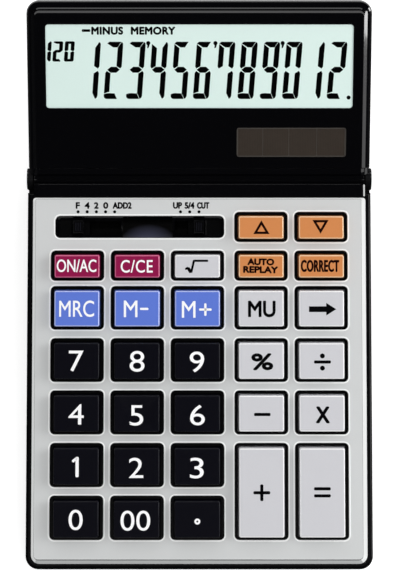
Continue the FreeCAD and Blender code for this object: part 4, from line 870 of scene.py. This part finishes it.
def dishTop(shape, top):
    # the middle key's shallow dish, by which fingers find it
    level = top.calc_center_median().z
    edges = list(top.edges)
    bmesh.ops.delete(shape, geom=[top], context="FACES_ONLY")
    made = bmesh.ops.create_circle(shape, radius=dish["radius"], segments=24,
                                   matrix=Matrix.Translation((0, 0, level)))["verts"]
    circle = [edge for edge in shape.edges if edge.verts[0] in made and edge.verts[1] in made]
    bmesh.ops.triangle_fill(shape, edges=edges + circle, use_beauty=True, normal=(0, 0, 1))
    bowl = bmesh.ops.contextual_create(shape, geom=circle)["faces"][0]
    if bowl.normal.z < 0:
        bowl.normal_flip()
    for inward, rise in dish["steps"]:
        inset(shape, bowl, inward, rise)


def lowerIntoDish(shape, x, y):
    # the print follows the dish
    deepest = -sum(rise for inward, rise in dish["steps"])
    for corner in shape.verts:
        away = math.hypot(corner.co.x - x, corner.co.y - y) / dish["radius"]
        corner.co.z -= deepest * max(0.0, 1 - away ** 3) * 0.8


for name, (column, row, form, colour) in keyPlan.items():
    printed = joined(keyLegend(name))
    if name == "5":
        lowerIntoDish(printed, keyPlace(name)[0], keyPlace(name)[1] - key["lean"])
    piece = finishPiece(f"key_{name}_cap", joined([keyCap(name, form), printed]), onDeck,
                        [f"key{colour}", f"key{colour}Edge", ink[colour]], f"key_{name}_body")
    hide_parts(f"key_{name}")
print("keys made")


# Display head's front: a skin that rounds over the bezel, and a glossy panel with two windows

lens = dict(back=3.25, front=4.70,
            windows=[(110.4, 30.1, 1.1, 0.08, 41.70), (39.7, 10.75, 0.9, 33.33, 14.21)])
# half width, near edge, far edge, near radius, far radius, level
skin = [(62.0, 4.55, 64.95, 0.3, 4.5, -0.9), (62.0, 4.55, 64.95, 0.3, 4.5, 1.4),
        (61.9, 4.55, 64.90, 0.3, 4.45, 2.6), (61.5, 4.56, 64.60, 0.3, 4.1, 3.23),
        (61.0, 4.60, 64.00, 0.3, 3.6, 3.65), (60.2, 4.64, 63.45, 0.3, 3.0, 3.97),
        (59.43, 4.68, 62.70, 0.3, 2.4, 4.42), (59.17, 4.72, 62.25, 0.3, 2.1, 4.57),
        (59.03, 4.76, 61.63, 0.3, 1.8, 4.653), (58.95, 4.80, 60.85, 0.3, 1.5, 4.70),
        (58.93, 4.82, 60.83, 0.3, 1.48, 3.3), (61.3, 4.95, 64.35, 0.3, 4.1, 2.0),
        (61.35, 4.95, 64.45, 0.3, 4.2, -0.9)]
panelEdge = 9
skinPiece = loftedRing([(-half, half, near, far, nearRadius, farRadius, level, 0)
                        for half, near, far, nearRadius, farRadius, level in skin], crisp=True)
half, near, far, nearRadius, farRadius, level = skin[panelEdge]
panel = sheetWithOpenings(outlineFace(-half, half, near, far, nearRadius, farRadius, 0),
                          lens["windows"], lens["front"] - lens["back"], lens["front"])
displayLens = finishPiece("lensPanel", joined([panel, skinPiece]), onHead, ["lensBlack"], "head")
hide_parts("display_lens")


# Display face behind the larger window

screen = dict(depth=0.22, lift=0.012, digitTop=50.54, digitFoot=29.97, firstRight=-35.18,
              pitch=8.03, width=5.76, slant=0.076)
screenZ = lens["front"] - screen["depth"]
width, length, corner, x, y = lens["windows"][0]
faceShape = roundedFace(width - 0.06, length - 0.06, corner, x, y, lens["back"] + 0.05)
climb(faceShape, [(0, screenZ - lens["back"] - 0.05, 0)])
closeBack(faceShape)
finishPiece("displayFace", joined([faceShape]), onHead, ["displayMint"], "head")


def segmentOutlines(w, h):
    # the seven segments of a digit that stands upright at the origin
    v, m = 0.33 * w, 0.512 * h
    return dict(
        a=[(0.0, h - 0.62), (0.72, h), (w - 0.74, h), (w - v - 0.02, h - 2.02), (2.25, h - 2.02)],
        b=[(w - v, h - 2.15), (w - 0.60, h - 0.08), (w - 0.14, h - 0.45), (w, h - 1.05),
           (w, m + 1.15), (w - 0.5, m + 0.42), (w - v, m + 1.3)],
        c=[(w - v, m - 1.3), (w - 0.5, m - 0.42), (w, m - 1.15), (w, 1.1), (w - 0.3, 0.4),
           (w - 0.82, 0.05), (w - v, 2.15)],
        d=[(0.0, 1.72), (0.7, 2.0), (1.6, 2.12), (w - v - 0.03, 2.0), (w - 0.98, 0.0), (0.95, 0.0),
           (0.3, 0.35), (0.0, 0.95)],
        e=[(0.0, 1.92), (0.0, m - 1.15), (0.5, m - 0.42), (v, m - 1.3), (v, 2.62), (0.9, 2.28)],
        f=[(0.0, h - 0.82), (0.0, m + 1.15), (0.5, m + 0.42), (v, m + 1.3), (v, h - 2.28)],
        g=[(0.62, m), (1.85, m + 1.06), (w - 1.85, m + 1.06), (w - 0.62, m), (w - 1.85, m - 1.06),
           (1.85, m - 1.06)],
    )


lit = {"0": "abcdef", "1": "bc", "2": "abged", "3": "abgcd", "4": "fgbc", "5": "afgcd",
       "6": "afgedc", "7": "fabc", "8": "abcdefg", "9": "abcdfg"}


def digit(figure, right, foot, w, h, z, material):
    # a figure whose upper right corner is at right, leaning with the slant
    shapes = []
    left = right - w - screen["slant"] * h
    size = (w / screen["width"], h / (screen["digitTop"] - screen["digitFoot"]))
    for name, points in segmentOutlines(screen["width"], h / size[1]).items():
        if name in lit[figure]:
            placed = [(left + px * size[0] + screen["slant"] * py * size[1], foot + py * size[1])
                      for px, py in points]
            shapes.append(cutOut(placed, screen["lift"], z, material))
    return shapes


figures = []
figureZ = screenZ + 0.006
height = screen["digitTop"] - screen["digitFoot"]
for index, figure in enumerate("123456789012"):
    figures += digit(figure, screen["firstRight"] + index * screen["pitch"], screen["digitFoot"],
                     screen["width"], height, figureZ, 0)
small = dict(rights=(-52.80, -48.70, -44.55), foot=43.42, height=7.3, width=4.05, swell=0.14)
for right, figure in zip(small["rights"], "120"):
    for angle in range(0, 360, 60):
        # repeated about its place, so that its strokes are broad for its size
        turn = math.radians(angle)
        figures += digit(figure, right - small["swell"] * (1 - math.cos(turn)),
                         small["foot"] + small["swell"] * (1 + math.sin(turn)),
                         small["width"] - screen["slant"] * small["height"] - 2 * small["swell"],
                         small["height"] - 2 * small["swell"], figureZ + angle / 1e5, 0)
for x in (-18.35, 5.72, 29.80):
    figures.append(disc(0.75, x + 0.08, 50.05, figureZ, screen["lift"], sides=14))
    figures.append(cutOut([(x - 0.2, 49.6), (x + 0.70, 49.75), (x + 0.20, 48.35), (x - 0.30, 48.2)],
                          screen["lift"], figureZ))
figures.append(disc(0.74, 53.78, 30.48, figureZ, screen["lift"]))
figures.append(stroke(-40.5, 54.53, 3.04, 0.95, screenZ + 0.002, 0.02))
for text, textWidth, textX in (("MINUS", 11.4, -32.93), ("MEMORY", 15.93, -16.52)):
    figures.append(lettering(text, textWidth, 2.9, textX, 54.49, screenZ + 0.01, 0.19,
                             spacing=1.08))
finishPiece("displayFigures", joined(figures), onHead, ["segmentBlack"], "head")


# Solar cell behind the smaller window

solar = dict(splits=(22.98, 32.39, 42.51), border=0.5, line=0.16)
width, length, corner, x, y = lens["windows"][1]
cellPieces = [softBlock(width - 0.06, length - 0.06, screenZ - lens["back"] - 0.15, x, y,
                        lens["back"] + 0.05, corner, 0.05, 1)]
edges = [x - width / 2 + solar["border"], *solar["splits"], x + width / 2 - solar["border"]]
for left, right in zip(edges, edges[1:]):
    cellPieces.append(softBlock(right - left - solar["line"], length - 2 * solar["border"], 0.06,
                                (left + right) / 2, y, screenZ - 0.12, 0.25, 0.03, 0))
finishPiece("solarCells", joined(cellPieces), onHead, ["solarCell", "solarFrame"], "head")
print("display made")


# Hinge: the band over the head's neck, its skirts over the ears, the strip behind the plate

hinge = dict(stripStart=134.42, stripEnd=138.7)
# half width, shrink along, level
stripSteps = [(60.15, 0, -1.0), (60.10, 0, -0.22), (58.68, 0, 0.58), (58.50, 0.08, 0.62)]
lowBand = [(0.05, 2.9), (0.05, 3.90), (1.85, 3.90), (2.6, 4.10), (4.6, 4.10), (4.6, 2.9)]
highBand = [(0, 2.9), (0, 3.93), (1.85, 3.93), (2.6, 4.65), (4.6, 4.65), (4.6, 2.9)]
band = [(-59.75, lowBand), (-58.75, highBand), (58.75, highBand), (59.75, lowBand)]
under = [(4.6, 0.3), (4.09, 0.3), (3.95, 1.0), (3.56, 2.0), (2.77, 3.0)]
skirt = [(59.7, under + [(1.9, 3.62), (1.9, 3.95), (4.6, 3.95)]),
         (60.9, under + [(2.56, 3.2), (2.58, 3.45), (4.6, 3.85)]),
         (61.6, under + [(2.78, 3.02), (2.82, 3.03), (4.6, 2.9)]),
         (61.7, under + [(2.9, 2.92), (3.0, 2.85), (4.6, 2.5)])]
neck = [profileBar(band)]
for side in (-1, 1):
    neck.append(profileBar([(side * x, points) for x, points in skirt]))
finishPiece("neckBand", joined(neck), onHead, ["caseBlack"], "head")
strip = loftedBlock([(-half, half, hinge["stripStart"] + inset, hinge["stripEnd"] - inset, 0.05,
                      0.05, level, 0) for half, inset, level in stripSteps])
finishPiece("rearStrip", joined([strip]), onDeck, ["caseBlack"], "body")


# Screws whose crossed recess is a flat black cross, painted shade: four under the case, four in the rear
# cover's wells

def crossScrew(headRadius, headHeight, shankRadius, shankLength, x, y, z):
    # the head's face is at z and looks down, the shank rises from it
    shape = prism(headRadius, 24, 0, 0, -headHeight * 0.65,
                  [(0, headHeight * 0.65, 0), (headRadius * 0.12, headHeight * 0.33, 0)])
    shank = prism(shankRadius, 12, 0, 0, -headHeight - shankLength,
                  [(0, shankLength + headHeight / 2, 0)])
    # the recess is not cut: a thin black cross on the head's face is its painted shade
    recessShade = [softBlock(length, across, 0.04, 0, 0, headHeight * 0.335, 0.08, 0.02, 1)
              for length, across in ((headRadius * 1.15, headRadius * 0.26),
                                     (headRadius * 0.26, headRadius * 1.15))]
    whole = turned(joined([shape, shank] + recessShade), 180, "X")
    return moved(whole, (x, y, z + headHeight * 0.35))


screws = dict(caseX=56.9, caseY=(7.2, 127.0), caseTop=-12.9, headX=57.4, headY=(8.3, 61.1),
              headZ=-4.2)
caseScrews = [crossScrew(2.3, 1.6, 1.1, 5.8, x, y, screws["caseTop"])
              for x in (-screws["caseX"], screws["caseX"]) for y in screws["caseY"]]
piece = finishPiece("caseScrewSet", joined(caseScrews), onDeck, ["steel", "inkBlack"], "body")
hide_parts("case_screws")
headScrews = [crossScrew(1.8, 1.2, 0.85, 2.6, x, y, screws["headZ"])
              for x in (-screws["headX"], screws["headX"]) for y in screws["headY"]]
finishPiece("headScrewSet", joined(headScrews), onHead, ["steel", "inkBlack"], "head")
print("hinge and screws made")


# Rubber sheet with its domes, each dome with a mesh of its own

rubber = dict(width=107.2, length=121.0, front=8.2, foot=-9.6, thickness=0.8, domeRadius=3.3,
              domeTop=-5.6, keep=0.375)
roomX, roomY = plate["bayWidth"] + 3.0, plate["bayLength"] + 3.0
sheet = sheetWithOpenings(roundedFace(rubber["width"], rubber["length"], 1.0, 0,
                                      rubber["front"] + rubber["length"] / 2),
                          [(roomX, roomY, 0.5, plate["bayX"], rowY[6] - 0.4)],
                          rubber["thickness"], rubber["foot"] + rubber["thickness"])
rubberSheet = finishPiece("rubberSheet", joined([sheet]), onDeck, ["domeRubber"], "body")
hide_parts("rubber_dome_sheet")
sheetTop = rubber["foot"] + rubber["thickness"]
for name in keyPlan:
    x, y = keyPlace(name)
    rise = rubber["domeTop"] - sheetTop - 0.02
    dome = prism(rubber["domeRadius"], 20, x, y, sheetTop - 0.01,
                 [(0.25, rise * 0.30, 0), (0.45, rise * 0.35, 0), (0.55, rise * 0.15, 0),
                  (0.12, rise * 0.20, 0)])
    dome = finishPiece(f"dome_{name}", joined([dome]), onDeck, ["domeRubber"], "body")
    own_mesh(dome)
print("domes made")


# Rubber feet with a rounded edge and a shallow cup

feet = dict(radius=5.0, x=48.0, y=(13.0, 132.0), sides=40,
            steps=[(0, 0.8, 0), (0.08, 0.25, 0), (0.27, 0.15, 0), (0.9, 0, 0), (0.15, -0.12, 0),
                   (0.5, -0.05, 0)])
footPieces = []
for x in (-feet["x"], feet["x"]):
    for y in feet["y"]:
        foot = prism(feet["radius"], feet["sides"], x, -y, 0, feet["steps"])
        footPieces.append(turned(foot, 180, "X"))
footSet = finishPiece("footSet", joined(footPieces), underCase, ["footRubber"], "body")
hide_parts("rubber_feet")


# Flat cable through the hinge

cable = dict(width=24.0, thickness=0.26)
route = [(123.2, -10.95), (129.2, -10.95), (133.6, -9.0), (136.2, -7.0), (139.0, -5.6),
         (141.3, -4.6), (144.2, -3.72), (149.9, -1.97)]
ribbon = bmesh.new()
bmesh.ops.create_grid(ribbon, x_segments=12, y_segments=len(route) - 1, size=0.5)
for corner in ribbon.verts:
    step = round((corner.co.y + 0.5) * (len(route) - 1))
    corner.co = (corner.co.x * cable["width"], *route[step])
bmesh.ops.recalc_face_normals(ribbon, faces=ribbon.faces)
bmesh.ops.solidify(ribbon, geom=ribbon.faces, thickness=cable["thickness"])
mesh = bpy.data.meshes.new("ribbon")
bmesh.ops.transform(ribbon, matrix=onDeck, verts=ribbon.verts)
ribbon.to_mesh(mesh)
ribbon.free()
mesh.materials.append(finishes["cableGrey"])
ribbonPiece = bpy.data.objects.new("flatCable", mesh)
bpy.context.scene.collection.objects.link(ribbonPiece)
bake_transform(ribbonPiece)
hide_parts("ribbon_cable")
print("cable made")


# Finishes of the CAD pieces that stay

kept = dict(
    keyboard_frame="frameBlack", lower_case="caseUnder", keyboard_circuit_board="boardGreen",
    decimal_switch_wiper="brass", rounding_switch_wiper="brass", battery_cover="caseUnder",
    button_cell="steel", battery_contacts="brass", hinge_pins="steel",
    hinge_friction_washers="frameBlack", hinge_end_caps="caseBlack", head_front_bezel="caseBlack",
    head_rear_cover="caseUnder", lcd_panel="displayMint", solar_cell="solarCell",
    zebra_strip="stripRubber", display_circuit_board="boardGreen", driver_chip="chipResin",
)
for name, label in kept.items():
    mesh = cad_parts[name].data
    mesh.materials.clear()
    mesh.materials.append(finishes[label])
print("kept pieces finished")


# Floor, lamps and surroundings

studio = dict(floorColour=(0.88, 0.88, 0.88), floorGlow=0.50, floorInMirrors=(0.05, 0.05, 0.05),
              farInMirrors=(0.50, 0.50, 0.50), farFrom=0.09, farTo=0.12, mirrorLow=0.05,
              mirrorHigh=0.010, mirrorFrom=0.20, mirrorTo=0.50, soft=0.72, seen=1.0)
bpy.ops.mesh.primitive_plane_add(size=6)
floor = bpy.context.object
floor.name = "floor"
floorFinish = bpy.data.materials.new("floor")
floorFinish.use_nodes = True
nodes, links = floorFinish.node_tree.nodes, floorFinish.node_tree.links
shader = nodes["Principled BSDF"]
setInputs(shader, {"Roughness": 0.9, "Specular IOR Level": 0.0, "Emission Color": (1, 1, 1, 1)})
path = nodes.new("ShaderNodeLightPath")
glow = nodes.new("ShaderNodeMath")
glow.operation = "MULTIPLY"
glow.inputs[1].default_value = studio["floorGlow"]
links.new(path.outputs["Is Camera Ray"], glow.inputs[0])
mirrored = nodes.new("ShaderNodeMix")
mirrored.data_type = "RGBA"
mirrored.inputs["A"].default_value = (*studio["floorColour"], 1)
far = nodes.new("ShaderNodeMix")
far.data_type = "RGBA"
setInputs(far, {"A": (*studio["floorInMirrors"], 1), "B": (*studio["farInMirrors"], 1)})
along = nodes.new("ShaderNodeSeparateXYZ")
links.new(nodes.new("ShaderNodeTexCoord").outputs["Object"], along.inputs[0])
reach = nodes.new("ShaderNodeMapRange")
setInputs(reach, {"From Min": studio["farFrom"], "From Max": studio["farTo"]})
links.new(along.outputs["Y"], reach.inputs["Value"])
links.new(reach.outputs["Result"], far.inputs["Factor"])
links.new(far.outputs["Result"], mirrored.inputs["B"])
links.new(path.outputs["Is Glossy Ray"], mirrored.inputs["Factor"])
links.new(mirrored.outputs["Result"], shader.inputs["Base Color"])
links.new(glow.outputs[0], shader.inputs["Emission Strength"])
floor.data.materials.append(floorFinish)

world = bpy.data.worlds.new("surroundings")
bpy.context.scene.world = world
world.use_nodes = True
nodes, links = world.node_tree.nodes, world.node_tree.links
background = nodes["Background"]
direction = nodes.new("ShaderNodeTexCoord")
upwards = nodes.new("ShaderNodeSeparateXYZ")
links.new(direction.outputs["Generated"], upwards.inputs[0])
fall = nodes.new("ShaderNodeMapRange")
setInputs(fall, {"From Min": studio["mirrorFrom"], "From Max": studio["mirrorTo"],
                 "To Min": studio["mirrorLow"], "To Max": studio["mirrorHigh"]})
links.new(upwards.outputs["Z"], fall.inputs["Value"])
path = nodes.new("ShaderNodeLightPath")


def chosenBy(ray, other, chosen):
    # one level for that kind of ray and the other level for the rest
    pick = nodes.new("ShaderNodeMix")
    links.new(path.outputs[ray], pick.inputs["Factor"])
    for label, value in (("A", other), ("B", chosen)):
        if isinstance(value, float):
            pick.inputs[label].default_value = value
        else:
            links.new(value, pick.inputs[label])
    return pick.outputs["Result"]


mirrored = chosenBy("Is Glossy Ray", studio["soft"], fall.outputs["Result"])
links.new(chosenBy("Is Camera Ray", mirrored, studio["seen"]), background.inputs["Strength"])
background.inputs["Color"].default_value = (1, 1, 1, 1)

lamps = {
    "rightLamp": dict(place=(0.95, 0.11, 0.42), width=0.57, length=0.35, power=6.0),
    "rightFill": dict(place=(0.95, -0.38, 0.40), width=0.42, length=0.40, power=0.6),
    "rearLamp": dict(place=(0.0, 0.95, 0.60), width=1.0, length=0.25, power=1.8),
    "frontStrip": dict(place=(0.0, -0.36, 1.25), width=1.2, length=0.15, power=0.7),
    "rearStripLamp": dict(place=(0.0, 0.27, 1.27), width=1.2, length=0.15, power=0.7),
}
for name, lamp in lamps.items():
    light = bpy.data.lights.new(name, "AREA")
    light.shape = "RECTANGLE"
    light.size = lamp["width"]
    light.size_y = lamp["length"]
    light.energy = lamp["power"]
    holder = bpy.data.objects.new(name, light)
    bpy.context.scene.collection.objects.link(holder)
    holder.location = lamp["place"]
    holder.rotation_euler = (-Vector(lamp["place"])).to_track_quat("-Z", "Y").to_euler()
bpy.context.scene.view_settings.view_transform = "Standard"
print("studio made")
